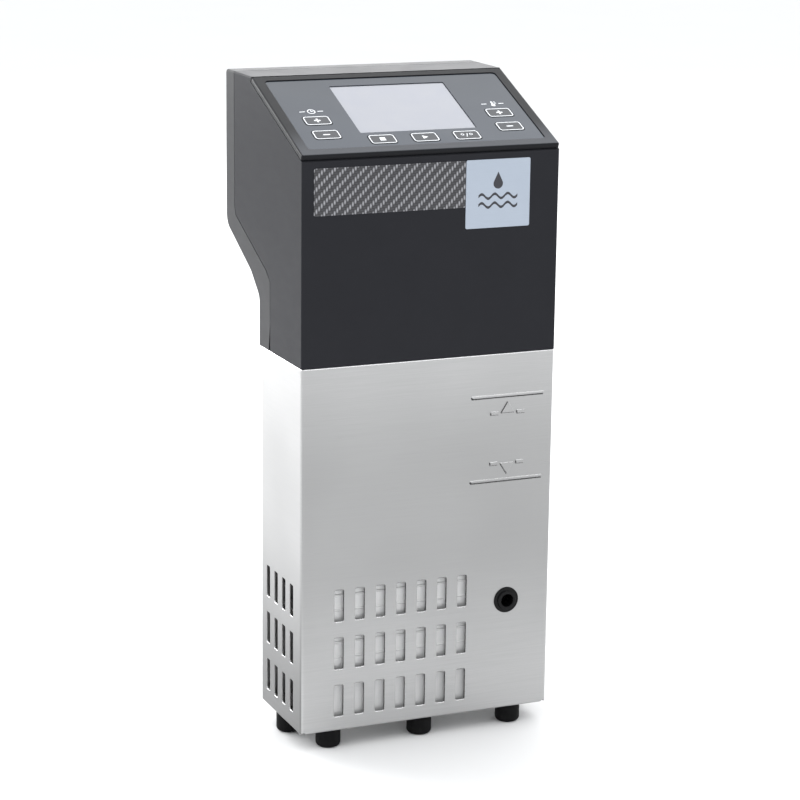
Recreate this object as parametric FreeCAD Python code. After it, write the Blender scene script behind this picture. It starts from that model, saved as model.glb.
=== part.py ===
import FreeCAD, Part
import math
import os

V = FreeCAD.Vector

# ---------------------------------------------------------------- driving dimensions, millimetres
# Working frame: X to the right, Y backwards from the steel front, Z up from the steel bottom.
WIDTH = 155.0                 # steel housing and control head
HALF_W = WIDTH / 2
STEEL_DEPTH = 65.0
STEEL_H = 214.0
SHEET = 1.0                   # sheet-steel thickness
BEND_R = 2.0                  # outside radius of the folded corners
FLANGE = 13.0                 # inward lips at the bottom of the housing
TOP_FLANGE = 10.0             # inward lips under the deck
REAR_FLANGE = 8.0             # inward lips that carry the back panel
TOP_EDGE_R, LOW_EDGE_R = 0.8, 1.2     # rounding of the housing's upper and lower edges
CORNER_RELIEF = (1.9, 1.1)    # notch at the bottom of each front corner: distance in, radius

FOOT_H = 11.5
FOOT_R = 7.25
FOOT_ROUND = 2.5
FOOT_BORE_R = 3.0
FOOT_XY = ((-57.0, 9.5), (0.0, 9.5), (57.0, 9.5), (-69.5, 40.5), (69.5, 40.5), (0.0, 56.0))

FRONT_SLOT = (5.7, 19.0)      # width, height
FRONT_SLOT_X = [-54.4 + 12.7 * i for i in range(7)]
FRONT_SLOT_Z = (18.0, 46.4, 74.9)
SIDE_SLOT = (5.6, 18.8)
SIDE_SLOT_Y = (15.1, 27.7, 40.2, 53.0)
SIDE_SLOT_Z = (19.5, 48.3, 76.5)
SLOT_R = 1.0

MAX_LEVEL_Z = 189.0
MIN_LEVEL_Z = 139.3
LEVEL_X = (26.5, 70.5)
EMBOSS = 0.55                 # height of the level marks above the steel

HEAD_FRONT_Z = 332.5          # top of the head's front face, where the slope starts
HEAD_TOP_Z = 366.0
HEAD_REAR_Y = 124.0
NECK_REAR_Y = 68.0
WALL = 2.5                    # plastic wall
SLOPE_LEN = 87.2
SLOPE_DEG = math.degrees(math.asin((HEAD_TOP_Z - HEAD_FRONT_Z) / SLOPE_LEN))
REVEAL = 0.5                  # shadow gap between mouldings
BEZEL_T = 3.0
RECESS = 0.9                  # depth of the bezel's recess for the overlay
OVERLAY_T = 0.4
FILM_X, FILM_S = 71.3, (6.5, 82.0)    # half width of the overlay, and its edges up the slope
REAR_CORNERS = [(HEAD_REAR_Y, HEAD_TOP_Z), (HEAD_REAR_Y, 275.9), (82.5, 254.7), (NECK_REAR_Y, 242.0)]
REAR_RADII = (2.5, 9.0, 12.0, 8.0)
SEAM = [(49.8, STEEL_H), (49.8, 254.0), (57.0, 260.0), (107.0, 283.0), (109.5, 288.0), (109.5, HEAD_TOP_Z)]
SEAM_NOTCH = [(49.0, 213.0), (52.6, 213.0), (49.0, 236.0)]    # the seam widens towards the steel

KEY_W, KEY_H, KEY_R = 15.6, 9.4, 2.0
KEY_GAP = 0.35
KEY_TOP_N = -0.25             # key face, measured along the panel's outward normal
KEYS = {"key_time_up": (-55.5, 36.8), "key_time_down": (-55.5, 21.4),
        "key_temp_up": (55.5, 36.8), "key_temp_down": (55.5, 21.4),
        "key_stop": (-25.0, 14.0), "key_start": (0.5, 14.0), "key_units": (26.0, 14.0)}
KEY_FLANGE = 0.9              # retaining flange round a key
LCD_X, LCD_S = 35.2, (22.0, 74.0)
BOARD_SCREWS = [(x, s) for x in (-68.2, 68.2) for s in (12.0, 76.0)]    # in panel axes
BOARD_TOP_N, BOARD_T = -12.0, 1.6

CARBON_LABEL = (-70.6, 19.7, 299.0, 325.2)    # left, right, bottom, top
PALE_LABEL = (19.9, 59.2, 286.8, 325.4)
LABEL_T, LABEL_R = 0.25, 1.0

PUMP_X, PUMP_Y = 36.0, 33.0
SHAFT_R = 3.0
RUN = 0.05                    # radial running clearance
VOLUTE_R, VOLUTE_Z = 22.0, (55.0, 79.0)
ROD_R, ROD_ORBIT = 2.5, 18.0
ROD_ANGLES = (30, 150, 270)
NOZZLE_X, NOZZLE_Z = 50.1, 66.5
NOZZLE_R, NOZZLE_BORE_R, NOZZLE_TIP = 5.65, 3.9, 1.8

HEATER_X = (-60.0, -44.0, -28.0, -12.0)
HEATER_Y, HEATER_R = 24.0, 3.5
HEATER_LOW_Z, HEATER_HIGH_Z, HEATER_TOP_Z = 24.0, 78.0, 228.0
PROBE_XY, STEM_XY, STEM_R = (0.0, 48.0), (61.5, 47.0), 3.0
FLOAT_R, FLOAT_Z, FLOAT_TRAVEL, FLOAT_GAP = 8.0, (128.0, 142.0), 12.0, 0.3

DECK_Z = (215.0, 216.5)
MOTOR_R, MOTOR_Z = 26.0, (228.0, 268.0)
BOARD_Y = (92.0, 93.6)
STANDOFF_X, STANDOFF_Z = (-56.0, 56.0), (284.0, 348.0)

FAN_X, FAN_Z, FAN_SIZE = -35.0, 320.0, 40.0
FAN_Y = (111.4, 121.4)
GLAND_X, GLAND_Z, GLAND_TIP_Y, GLAND_BORE_R = 45.0, 300.0, 138.0, 4.2
SEAL_R, SEAL_LIP = (6.5, 5.8), 1.5    # seal radius inside the nut and in its mouth

CLAMP_Z = 176.0
CLAMP_R, CLAMP_PITCH = 4.0, 1.25
PAD_Y = 75.0                  # pad face at rest, 10 mm behind the steel
BRACKET_T = 3.0
BRACKET_Y = 105.0
BRACKET_Z = (160.0, 216.0, 237.5)    # foot of the leg, foot of the flange, top of the arm
KNOB_R, KNOB_Y = 15.0, (121.0, 135.0)

SCREW_R, SCREW_HOLE_R, SCREW_LEN = 1.5, 1.55, 10.0
SCREW_HEAD_R, SCREW_HEAD_H = 2.75, 1.8
BOSS_X, BOSS_R = 71.5, 4.0
COVER_SCREW_Z, NECK_SCREW_Z = (300.0, 352.0), 225.0

Y_CENTRE = (GLAND_TIP_Y - NOZZLE_TIP) / 2    # middle of the overall depth

# Deck, panel and cover screws: seat position, direction of the shank
SCREW_SEATS = (
    [((x, y, -6.0), (0, 0, 1)) for x, y in FOOT_XY]
    + [((x, y, DECK_Z[1]), (0, 0, -1)) for x in (-71.0, 71.0) for y in (7.0, 58.0)]
    + [((x, STEEL_DEPTH, z), (0, -1, 0)) for x in (-73.0, 73.0) for z in (12.0, 107.0, 202.0)]
    + [((x, HEAD_REAR_Y - 1.8, z), (0, -1, 0)) for x in (-BOSS_X, BOSS_X) for z in COVER_SCREW_Z]
    + [((x, NECK_REAR_Y - 1.8, NECK_SCREW_Z), (0, -1, 0)) for x in (-BOSS_X, BOSS_X)]
    + [((x, NECK_REAR_Y + BRACKET_T, z), (0, -1, 0)) for x in (-17.0, 17.0) for z in (220.0, 230.0)])
ORBIT_45 = [(math.cos(math.radians(a)), math.sin(math.radians(a))) for a in (45, 135, 225, 315)]
for orbit, seat_z in ((20.2, VOLUTE_Z[0] - 3.0), (18.0, MOTOR_Z[0] - 2.0)):
    SCREW_SEATS += [((PUMP_X + orbit * c, PUMP_Y + orbit * s, seat_z), (0, 0, 1)) for c, s in ORBIT_45]


# ---------------------------------------------------------------- shape helpers
def box(x0, x1, y0, y1, z0, z1):
    return Part.makeBox(x1 - x0, y1 - y0, z1 - z0, V(x0, y0, z0))


def cyl_z(x, y, r, z0, z1):
    return Part.makeCylinder(r, z1 - z0, V(x, y, z0), V(0, 0, 1))


def cyl_y(x, z, r, y0, y1):
    return Part.makeCylinder(r, y1 - y0, V(x, y0, z), V(0, 1, 0))


def cyl_x(y, z, r, x0, x1):
    return Part.makeCylinder(r, x1 - x0, V(x0, y, z), V(1, 0, 0))


def hex_prism(centre, axis, across_flats, length):
    """Hexagonal prism from centre along 'y' or 'z'."""
    r = across_flats / math.sqrt(3)
    pts = []
    for i in range(7):
        a = math.radians(60 * i)
        u, w = r * math.cos(a), r * math.sin(a)
        pts.append(V(u, w, 0) if axis == "z" else V(u, 0, w))
    face = Part.Face(Part.makePolygon(pts))
    solid = face.extrude(V(0, 0, length) if axis == "z" else V(0, length, 0))
    solid.translate(V(*centre))
    return solid


def prism_x(points, x0, x1):
    """Prism along X from (y, z) outline points."""
    pts = [V(x0, y, z) for y, z in points]
    return Part.Face(Part.makePolygon(pts + pts[:1])).extrude(V(x1 - x0, 0, 0))


def prism_y(points, y0, y1):
    """Prism along Y from (x, z) outline points."""
    pts = [V(x, y0, z) for x, z in points]
    return Part.Face(Part.makePolygon(pts + pts[:1])).extrude(V(0, y1 - y0, 0))


def inset(points, distance):
    """Polygon with every side moved inwards by a distance; the outline runs clockwise in (y, z)."""
    out = []
    count = len(points)
    for i in range(count):
        (ax, az), (bx, bz), (cx, cz) = points[i - 1], points[i], points[(i + 1) % count]
        d1, d2 = math.hypot(bx - ax, bz - az), math.hypot(cx - bx, cz - bz)
        n1 = ((bz - az) / d1, -(bx - ax) / d1)
        n2 = ((cz - bz) / d2, -(cx - bx) / d2)
        k = distance / (1 + n1[0] * n2[0] + n1[1] * n2[1])
        out.append((bx + k * (n1[0] + n2[0]), bz + k * (n1[1] + n2[1])))
    return out


def edges_where(shape, test):
    """Edges whose middle point and unit direction satisfy test(mid, direction)."""
    found = []
    for edge in shape.Edges:
        mid = edge.valueAt((edge.FirstParameter + edge.LastParameter) / 2)
        ends = edge.lastVertex().Point - edge.firstVertex().Point
        if ends.Length > 1e-6:
            ends.normalize()
        if test(mid, ends):
            found.append(edge)
    return found


def round_along(shape, axis, radius):
    """Fillet the straight edges that run along one axis of a box."""
    index = "xyz".index(axis)
    return shape.makeFillet(radius, edges_where(shape, lambda m, d: abs(d[index]) > 0.999))


def round_edges(shape, radius, test):
    return shape.makeFillet(radius, edges_where(shape, test))


def rounded_box(x0, x1, y0, y1, z0, z1, axis, radius):
    return round_along(box(x0, x1, y0, y1, z0, z1), axis, radius)


def moved(shape, x, y, z):
    copy = shape.copy()
    copy.translate(V(x, y, z))
    return copy


def fuse(shapes):
    return shapes[0].multiFuse(shapes[1:]).removeSplitter()


def cut(shape, tools):
    return shape.cut(Part.makeCompound(tools)).removeSplitter()


def on_panel(shape):
    """Move a shape from panel axes (x, s up the slope, n outwards) to the working frame."""
    copy = shape.copy()
    copy.rotate(V(0, 0, 0), V(1, 0, 0), SLOPE_DEG)
    copy.translate(V(0, 0, HEAD_FRONT_Z))
    return copy


def panel_yz(s, n):
    """(y, z) in the working frame of a point s up the slope and n along its outward normal."""
    a = math.radians(SLOPE_DEG)
    return (s * math.cos(a) - n * math.sin(a), HEAD_FRONT_Z + s * math.sin(a) + n * math.cos(a))


def screw_holes():
    """Clearance holes for every M3 screw."""
    holes = []
    for seat, direction in SCREW_SEATS:
        holes.append(Part.makeCylinder(SCREW_HOLE_R, SCREW_LEN + 0.2, V(*seat), V(*direction)))
    return holes


def pump_orbit(angle, radius):
    a = math.radians(angle)
    return PUMP_X + radius * math.cos(a), PUMP_Y + radius * math.sin(a)


# ---------------------------------------------------------------- steel housing
def level_mark(z, point_up):
    """Raised bar and arrow that mark a water level on the housing front."""
    x0, x1 = LEVEL_X
    r = 1.1
    y = r - EMBOSS
    solids = [cyl_x(y, z, r, x0, x1), Part.makeSphere(r, V(x0, y, z)), Part.makeSphere(r, V(x1, y, z))]
    mid, sign = (x0 + x1) / 2, 1 if point_up else -1
    base, tip = z - sign * 10.0, z - sign * 3.4
    solids.append(prism_y([(mid - 4.2, base), (mid, tip), (mid + 4.2, base)], -EMBOSS, SHEET / 2))
    for side in (-1, 1):
        cx = mid + side * 8.2
        solids.append(box(cx - 2.4, cx + 2.4, -EMBOSS, SHEET / 2, base - 0.9, base + 0.9))
    trim = box(-HALF_W, HALF_W, -2, SHEET - 0.1, 0, STEEL_H)
    return [solid.common(trim) for solid in solids]


def steel_sleeve():
    """Folded sheet housing with intake slots, inward lips and level marks."""
    outer = rounded_box(-HALF_W, HALF_W, 0, STEEL_DEPTH, 0, STEEL_H, "z", BEND_R)
    outer = round_edges(outer, LOW_EDGE_R, lambda m, d: m.z < 0.01)
    outer = round_edges(outer, TOP_EDGE_R, lambda m, d: m.z > STEEL_H - 0.01)
    inner = rounded_box(SHEET - HALF_W, HALF_W - SHEET, SHEET, STEEL_DEPTH - SHEET,
                        SHEET, STEEL_H - SHEET, "z", BEND_R - SHEET)
    body = outer.cut(inner)
    lip, top_lip = HALF_W - FLANGE, HALF_W - TOP_FLANGE
    rear_lip = HALF_W - REAR_FLANGE
    tools = [box(-lip, lip, FLANGE, STEEL_DEPTH - FLANGE, -1, 2 * SHEET),
             box(-top_lip, top_lip, TOP_FLANGE, STEEL_DEPTH - TOP_FLANGE, STEEL_H - 2, STEEL_H + 1),
             box(-rear_lip, rear_lip, STEEL_DEPTH - 2, STEEL_DEPTH + 1, 18, STEEL_H - 18),
             cyl_y(NOZZLE_X, NOZZLE_Z, NOZZLE_R + 0.1, -1, 2 * SHEET)]
    w, h = FRONT_SLOT
    slot = rounded_box(-w / 2, w / 2, -1, 2 * SHEET, -h / 2, h / 2, "y", SLOT_R)
    tools += [moved(slot, x, 0, z) for x in FRONT_SLOT_X for z in FRONT_SLOT_Z]
    w, h = SIDE_SLOT
    slot = rounded_box(-HALF_W - 1, HALF_W + 1, -w / 2, w / 2, -h / 2, h / 2, "x", SLOT_R)
    tools += [moved(slot, 0, y, z) for y in SIDE_SLOT_Y for z in SIDE_SLOT_Z]
    notch_x = HALF_W - CORNER_RELIEF[0]
    tools += [cyl_y(x, 0.2, CORNER_RELIEF[1], -1, 3) for x in (-notch_x, notch_x)]
    body = cut(body, tools + screw_holes())
    return fuse([body] + level_mark(MAX_LEVEL_Z, True) + level_mark(MIN_LEVEL_Z, False))


def back_panel():
    """Flat sheet behind the rear opening of the housing, with a pressed stiffening panel."""
    y1 = STEEL_DEPTH - SHEET
    plate = box(2.2 - HALF_W, HALF_W - 2.2, y1 - SHEET, y1, 2.4, STEEL_H - 1.2)
    rib = rounded_box(-60, 60, y1, y1 + 0.8, 30, STEEL_H - 30, "y", 6)
    dish = rounded_box(-59, 59, y1 - SHEET - 1, y1 - 0.2, 31, STEEL_H - 31, "y", 5)
    return cut(fuse([plate, rib]), [dish] + screw_holes())


def base_plate():
    plate = box(1.6 - HALF_W, HALF_W - 1.6, 1.4, STEEL_DEPTH - 2.4, SHEET, SHEET + 1.2)
    slot = rounded_box(-1.75, 1.75, 19, 46, 0, 4, "z", 1.7)
    slots = [moved(slot, -54 + 9 * i, 0, 0) for i in range(13)]
    return cut(plate, slots + screw_holes())


def rubber_feet():
    feet = []
    for x, y in FOOT_XY:
        foot = cyl_z(x, y, FOOT_R, -FOOT_H, 0)
        foot = round_edges(foot, FOOT_ROUND, lambda m, d: m.z < 0.01 - FOOT_H)
        bores = [cyl_z(x, y, FOOT_BORE_R, -FOOT_H - 1, -6), cyl_z(x, y, SCREW_HOLE_R, -7, 1)]
        feet.append(cut(foot, bores))
    return Part.makeCompound(feet)


def m3_screws():
    """All the pan-head M3 screws, with cross recesses."""
    head = Part.makeCylinder(SCREW_HEAD_R, SCREW_HEAD_H)
    head = round_edges(head, 0.8, lambda m, d: m.z > SCREW_HEAD_H - 0.01)
    shank = Part.makeCylinder(SCREW_R, SCREW_LEN, V(0, 0, -SCREW_LEN))
    recess = [box(-1.6, 1.6, -0.4, 0.4, 0.8, 3), box(-0.4, 0.4, -1.6, 1.6, 0.8, 3)]
    screw = cut(fuse([head, shank]), recess)
    screws = []
    for seat, direction in SCREW_SEATS:
        copy = screw.copy()
        copy.Placement = FreeCAD.Placement(V(*seat), FreeCAD.Rotation(V(0, 0, -1), V(*direction)))
        screws.append(copy)
    return Part.makeCompound(screws)


def inner_baffle():
    """Splash plate behind the front slots, with pressed ribs and a foot that stands on the base plate."""
    floor_z = SHEET + 1.2
    plate = box(-64, 30, 4.0, 4.8, floor_z, 90)
    foot = box(-64, 30, 4.0, 12.0, floor_z, floor_z + 0.8)
    top = box(-64, 30, 4.0, 9.0, 89.2, 90)
    ribs = [cyl_x(4.2, z, 0.7, -62, 28) for z in (32.5, 43, 52, 60.5, 71, 80)]
    return cut(fuse([plate, foot, top] + ribs), screw_holes() + [cyl_z(x, 9.5, 3.3, 0, 4) for x in (-57, 0)])


# ---------------------------------------------------------------- wet parts under the deck
def deck_openings():
    return ([cyl_z(x, HEATER_Y, 6.05, 200, 230) for x in (HEATER_X[0], HEATER_X[-1])]
            + [cyl_z(PROBE_XY[0], PROBE_XY[1], 3.05, 200, 230), cyl_z(STEM_XY[0], STEM_XY[1], 3.05, 200, 230)]
            + [cyl_z(PUMP_X, PUMP_Y, 6.0, 200, 230)]
            + [cyl_z(*pump_orbit(a, ROD_ORBIT), ROD_R + 0.05, 200, 230) for a in ROD_ANGLES])


def deck_plate():
    plate = rounded_box(-74.6, 74.6, 3, 62, DECK_Z[0], DECK_Z[1], "z", 3)
    return cut(plate, deck_openings() + screw_holes())


def deck_gasket():
    ring = rounded_box(-74.6, 74.6, 3, 62, STEEL_H, DECK_Z[0], "z", 3)
    hole = rounded_box(-67.5, 67.5, 10, 55, STEEL_H - 1, DECK_Z[0] + 1, "z", 3)
    return cut(ring, [hole] + screw_holes())


def heater_element():
    """Sheathed tube bent three times, with both ends above the deck."""
    xa, xb, xc, xd = HEATER_X
    low, high, top, y = HEATER_LOW_Z, HEATER_HIGH_Z, HEATER_TOP_Z, HEATER_Y
    bend = (xb - xa) / 2

    def line(x, z0, z1):
        return Part.makeLine(V(x, y, z0), V(x, y, z1))

    def arc(x0, x1, z, sign):
        return Part.Arc(V(x0, y, z), V((x0 + x1) / 2, y, z + sign * bend), V(x1, y, z)).toShape()

    path = Part.Wire([line(xa, top, low), arc(xa, xb, low, -1), line(xb, low, high), arc(xb, xc, high, 1),
                      line(xc, high, low), arc(xc, xd, low, -1), line(xd, low, top)])
    section = Part.Wire(Part.makeCircle(HEATER_R, V(xa, y, top), V(0, 0, 1)))
    return path.makePipeShell([section], True, False)


def heater_fittings():
    """Bulkhead fittings: hexagon under the deck, thread through it and nut above it."""
    fittings = []
    for x in (HEATER_X[0], HEATER_X[-1]):
        solid = fuse([cyl_z(x, HEATER_Y, 6.0, 206, 223),
                      hex_prism((x, HEATER_Y, 210.5), "z", 13, 4.5),
                      hex_prism((x, HEATER_Y, DECK_Z[1]), "z", 15, 4)])
        fittings.append(cut(solid, [cyl_z(x, HEATER_Y, HEATER_R + 0.02, 200, 230)]))
    return Part.makeCompound(fittings)


def heater_bracket():
    """Strap that steadies the heater's legs against the back panel."""
    rear = STEEL_DEPTH - 2 * SHEET
    strap = fuse([box(-66, -6, 16, rear, 60, 61.2), box(-66, -6, rear - 1.2, rear, 60, 72)])
    window = rounded_box(-54, -18, 36, 54, 59, 62, "z", 3)
    return cut(strap, [cyl_z(x, HEATER_Y, HEATER_R + 0.02, 59, 62) for x in HEATER_X] + [window])


def temperature_probe():
    x, y = PROBE_XY
    tube = round_edges(cyl_z(x, y, STEM_R, 24, 226), 2.6, lambda m, d: m.z < 24.01)
    nut = hex_prism((x, y, DECK_Z[1]), "z", 12, 5)
    collar = cyl_z(x, y, 5.0, 211, DECK_Z[0])
    return fuse([tube, nut, collar])


def float_stem():
    """Level switch stem with stop collars under and over the float."""
    x, y = STEM_XY
    low = FLOAT_Z[0] - FLOAT_GAP
    high = FLOAT_Z[1] + FLOAT_TRAVEL + FLOAT_GAP
    return fuse([cyl_z(x, y, STEM_R, 118, 224), cyl_z(x, y, 4.6, low - 1.6, low),
                 cyl_z(x, y, 4.6, high, high + 1.6), hex_prism((x, y, DECK_Z[1]), "z", 10, 5),
                 cyl_z(x, y, 5.0, 211, DECK_Z[0])])


def level_float():
    x, y = STEM_XY
    body = cyl_z(x, y, FLOAT_R, *FLOAT_Z)
    body = round_edges(body, 2.0, lambda m, d: True)
    return cut(body, [cyl_z(x, y, STEM_R + 0.3, FLOAT_Z[0] - 1, FLOAT_Z[1] + 1)])


def pump_volute():
    """Round pump casing with a tangential outlet that reaches the housing front."""
    low, high = VOLUTE_Z
    casing = cyl_z(PUMP_X, PUMP_Y, VOLUTE_R, low, high)
    casing = round_edges(casing, 1.5, lambda m, d: m.z > high - 0.01)
    pipe = cyl_y(NOZZLE_X, NOZZLE_Z, 7.0, SHEET, PUMP_Y)
    tools = [cyl_z(PUMP_X, PUMP_Y, VOLUTE_R - 3.5, low - 1, high - 3),
             cyl_z(PUMP_X, PUMP_Y, SHAFT_R + 0.5, high - 5, high + 1),
             cyl_y(NOZZLE_X, NOZZLE_Z, 4.0, 0, PUMP_Y),
             cyl_y(NOZZLE_X, NOZZLE_Z, NOZZLE_R + 0.02, 0, 9.0)]
    tools += [cyl_z(*pump_orbit(a, ROD_ORBIT), ROD_R + 0.02, high - 3.5, high + 1) for a in ROD_ANGLES]
    tools += screw_holes()
    return cut(fuse([casing, pipe]), tools)


def pump_cover():
    low = VOLUTE_Z[0]
    plate = cyl_z(PUMP_X, PUMP_Y, VOLUTE_R, low - 3, low)
    return cut(plate, [cyl_z(PUMP_X, PUMP_Y, 9.0, low - 4, low + 1)] + screw_holes())


def pump_rods():
    rods = []
    for angle in ROD_ANGLES:
        x, y = pump_orbit(angle, ROD_ORBIT)
        rods.append(fuse([cyl_z(x, y, ROD_R, VOLUTE_Z[1] - 3, 221), hex_prism((x, y, DECK_Z[1]), "z", 8, 3.2),
                          hex_prism((x, y, DECK_Z[0] - 3.2), "z", 8, 3.2)]))
    return Part.makeCompound(rods)


def impeller():
    """Disc with six straight vanes hanging below it, open towards the suction hole."""
    disc = cyl_z(PUMP_X, PUMP_Y, 17.0, 70, 72)
    hub = cyl_z(PUMP_X, PUMP_Y, 6.0, 58, 74)
    vanes = []
    for i in range(6):
        vane = box(PUMP_X + 4, PUMP_X + 16.4, PUMP_Y - 0.75, PUMP_Y + 0.75, 58, 70.5)
        vane.rotate(V(PUMP_X, PUMP_Y, 0), V(0, 0, 1), 60 * i + 15)
        vanes.append(vane)
    return cut(fuse([disc, hub] + vanes), [cyl_z(PUMP_X, PUMP_Y, SHAFT_R, 57, 75)])


def outlet_nozzle():
    """Black jet outlet: flange on the steel, raised ring outside it and a spigot into the pump pipe."""
    ring = cyl_y(NOZZLE_X, NOZZLE_Z, NOZZLE_R, -NOZZLE_TIP, 8.5)
    ring = round_edges(ring, 0.5, lambda m, d: m.y < 0.01 - NOZZLE_TIP)
    flange = cyl_y(NOZZLE_X, NOZZLE_Z, 7.7, -0.6, 0)
    flange = round_edges(flange, 0.35, lambda m, d: m.y < -0.59)
    return cut(fuse([ring, flange]), [cyl_y(NOZZLE_X, NOZZLE_Z, NOZZLE_BORE_R, -5, 20)])


def shaft_bush():
    solid = fuse([cyl_z(PUMP_X, PUMP_Y, 5.98, 212, 218.5), cyl_z(PUMP_X, PUMP_Y, 9.0, DECK_Z[1], 218.5)])
    return cut(solid, [cyl_z(PUMP_X, PUMP_Y, SHAFT_R + RUN, 205, 220)])


def motor_shaft():
    shaft = cyl_z(PUMP_X, PUMP_Y, SHAFT_R, 60, 261.5)
    return shaft.makeChamfer(0.6, edges_where(shaft, lambda m, d: m.z < 60.01 or m.z > 261.4))


def shaft_coupling():
    """Clamp collar between the bush and the motor."""
    collar = cyl_z(PUMP_X, PUMP_Y, 7.0, 219.6, 225.2)
    split = box(PUMP_X, PUMP_X + 8, PUMP_Y - 0.5, PUMP_Y + 0.5, 219, 226)
    return cut(collar, [cyl_z(PUMP_X, PUMP_Y, SHAFT_R, 219, 226), split])


def motor_can():
    can = cyl_z(PUMP_X, PUMP_Y, MOTOR_R, *MOTOR_Z)
    can = round_edges(can, 2.0, lambda m, d: True)
    boss = cyl_z(PUMP_X, PUMP_Y, 8.0, MOTOR_Z[1] - 1, MOTOR_Z[1] + 4)
    tabs = [box(PUMP_X + x - 2.4, PUMP_X + x + 2.4, PUMP_Y + 17, PUMP_Y + 17.8, MOTOR_Z[1] - 1,
                MOTOR_Z[1] + 8) for x in (-6, 6)]
    return cut(fuse([can, boss] + tabs), [cyl_z(PUMP_X, PUMP_Y, SHAFT_R + RUN, 220, 262)] + screw_holes())


def motor_bracket():
    """Plate on four posts that lifts the motor above the deck."""
    z1 = MOTOR_Z[0]
    plate = rounded_box(PUMP_X - 28, PUMP_X + 28, PUMP_Y - 28, PUMP_Y + 28, z1 - 2, z1, "z", 5)
    posts = [cyl_z(PUMP_X + x, PUMP_Y + y, 3.5, DECK_Z[1], z1 - 1) for x in (-24, 24) for y in (-24, 24)]
    return cut(fuse([plate] + posts), [cyl_z(PUMP_X, PUMP_Y, 9.0, 220, 230)] + screw_holes())


# ---------------------------------------------------------------- control head
SEAT_FRONT_Z = HEAD_FRONT_Z - (BEZEL_T + REVEAL) / math.cos(math.radians(SLOPE_DEG))
HEAD_CORE = ([(0, 200), (0, SEAT_FRONT_Z), (89.6, HEAD_TOP_Z)] + REAR_CORNERS + [(NECK_REAR_Y, 200)])
COVER_SEAM = [(y + REVEAL, z - (REVEAL if 255 < z < 285 else 0)) for y, z in SEAM]


def head_cavity():
    return prism_x(inset(HEAD_CORE, WALL), WALL - HALF_W, HALF_W - WALL)


def cover_bosses():
    """Screw bosses on the side walls that reach through the seam to the rear cover."""
    def within(half_width):
        return box(-half_width, half_width, 0, HEAD_REAR_Y, STEEL_H, HEAD_TOP_Z)

    bosses = []
    runs = [(84.0, 109.0, HEAD_REAR_Y - WALL, z) for z in COVER_SCREW_Z]
    runs.append((30.0, 49.5, NECK_REAR_Y - WALL, NECK_SCREW_Z))
    for start, seam, end, z in runs:
        for x in (-BOSS_X, BOSS_X):
            rooted = cyl_y(x, z, BOSS_R, start, seam).common(within(HALF_W - 1))
            free = cyl_y(x, z, BOSS_R, seam - 1, end).common(within(HALF_W - WALL - 0.1))
            bosses += [rooted, free]
    return bosses


def front_housing():
    """Front, sides and top of the head, with the sloped seat for the control panel."""
    seat_end = panel_yz(SLOPE_LEN + 0.2, -BEZEL_T - REVEAL)
    lip_top = panel_yz(SLOPE_LEN + 0.2, -0.1)
    outline = ([(0, STEEL_H), HEAD_CORE[1], seat_end, (lip_top[0], HEAD_TOP_Z)]
               + [(y, z) for y, z in reversed(SEAM)])
    solid = prism_x(outline, -HALF_W, HALF_W)
    solid = round_edges(solid, 1.2, lambda m, d: abs(m.y) < 0.01 and abs(d.z) > 0.99)
    solid = round_edges(solid, 0.8, lambda m, d: abs(abs(m.x) - HALF_W) < 0.01
                        and abs(m.z - HEAD_TOP_Z) < 0.01)
    shell = solid.cut(head_cavity())
    window = on_panel(box(-71, 71, 5, 83, -12, 2))
    return cut(fuse([shell] + cover_bosses()), [window] + screw_holes())


def on_rear_outline(mid, _direction):
    """True for the cover's outer side edges, away from the seam and the open bottom."""
    middles = [((y0 + y1) / 2, (z0 + z1) / 2) for (y0, z0), (y1, z1) in zip(COVER_SEAM, COVER_SEAM[1:])]
    at_seam = any(math.hypot(mid.y - y, mid.z - z) < 0.3 for y, z in middles)
    return (abs(abs(mid.x) - HALF_W) < 0.01 and mid.y > NECK_REAR_Y - 0.1
            and mid.z > STEEL_H + 0.1 and not at_seam)


def rear_cover():
    """Rear tray of the head: neck, sloping underside over the pot rim and upright back."""
    solid = prism_x(COVER_SEAM + REAR_CORNERS + [(NECK_REAR_Y, STEEL_H)], -HALF_W, HALF_W)
    for (y, z), r in zip(REAR_CORNERS, REAR_RADII):
        solid = round_edges(solid, r, lambda m, d: math.hypot(m.y - y, m.z - z) < 0.5 and abs(d.x) > 0.99)
    solid = round_edges(solid, 0.8, on_rear_outline)
    shell = solid.cut(head_cavity())
    tools = [prism_x(SEAM_NOTCH, side * HALF_W - 3, side * HALF_W + 3) for side in (-1, 1)]
    vent = rounded_box(-1.75, 1.75, HEAD_REAR_Y - 5, HEAD_REAR_Y + 2, -15, 15, "y", 1.7)
    tools += [moved(vent, FAN_X + 5.5 * i, 0, FAN_Z) for i in range(-3, 4)]
    tools.append(cyl_y(GLAND_X, GLAND_Z, 8.1, HEAD_REAR_Y - 5, HEAD_REAR_Y + 2))
    for seat, direction in SCREW_SEATS:
        if seat[2] > STEEL_H and abs(seat[0]) == BOSS_X and direction == (0, -1, 0):
            tools.append(cyl_y(seat[0], seat[2], SCREW_HEAD_R + 0.3, seat[1], seat[1] + 4))
    return cut(shell, tools + screw_holes())


def key_openings(gap):
    """Rounded openings around every key, in panel axes."""
    tools = []
    for x, s in KEYS.values():
        w, h = KEY_W / 2 + gap, KEY_H / 2 + gap
        tools.append(rounded_box(x - w, x + w, s - h, s + h, -8, 2, "z", KEY_R + gap))
    return tools


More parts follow.
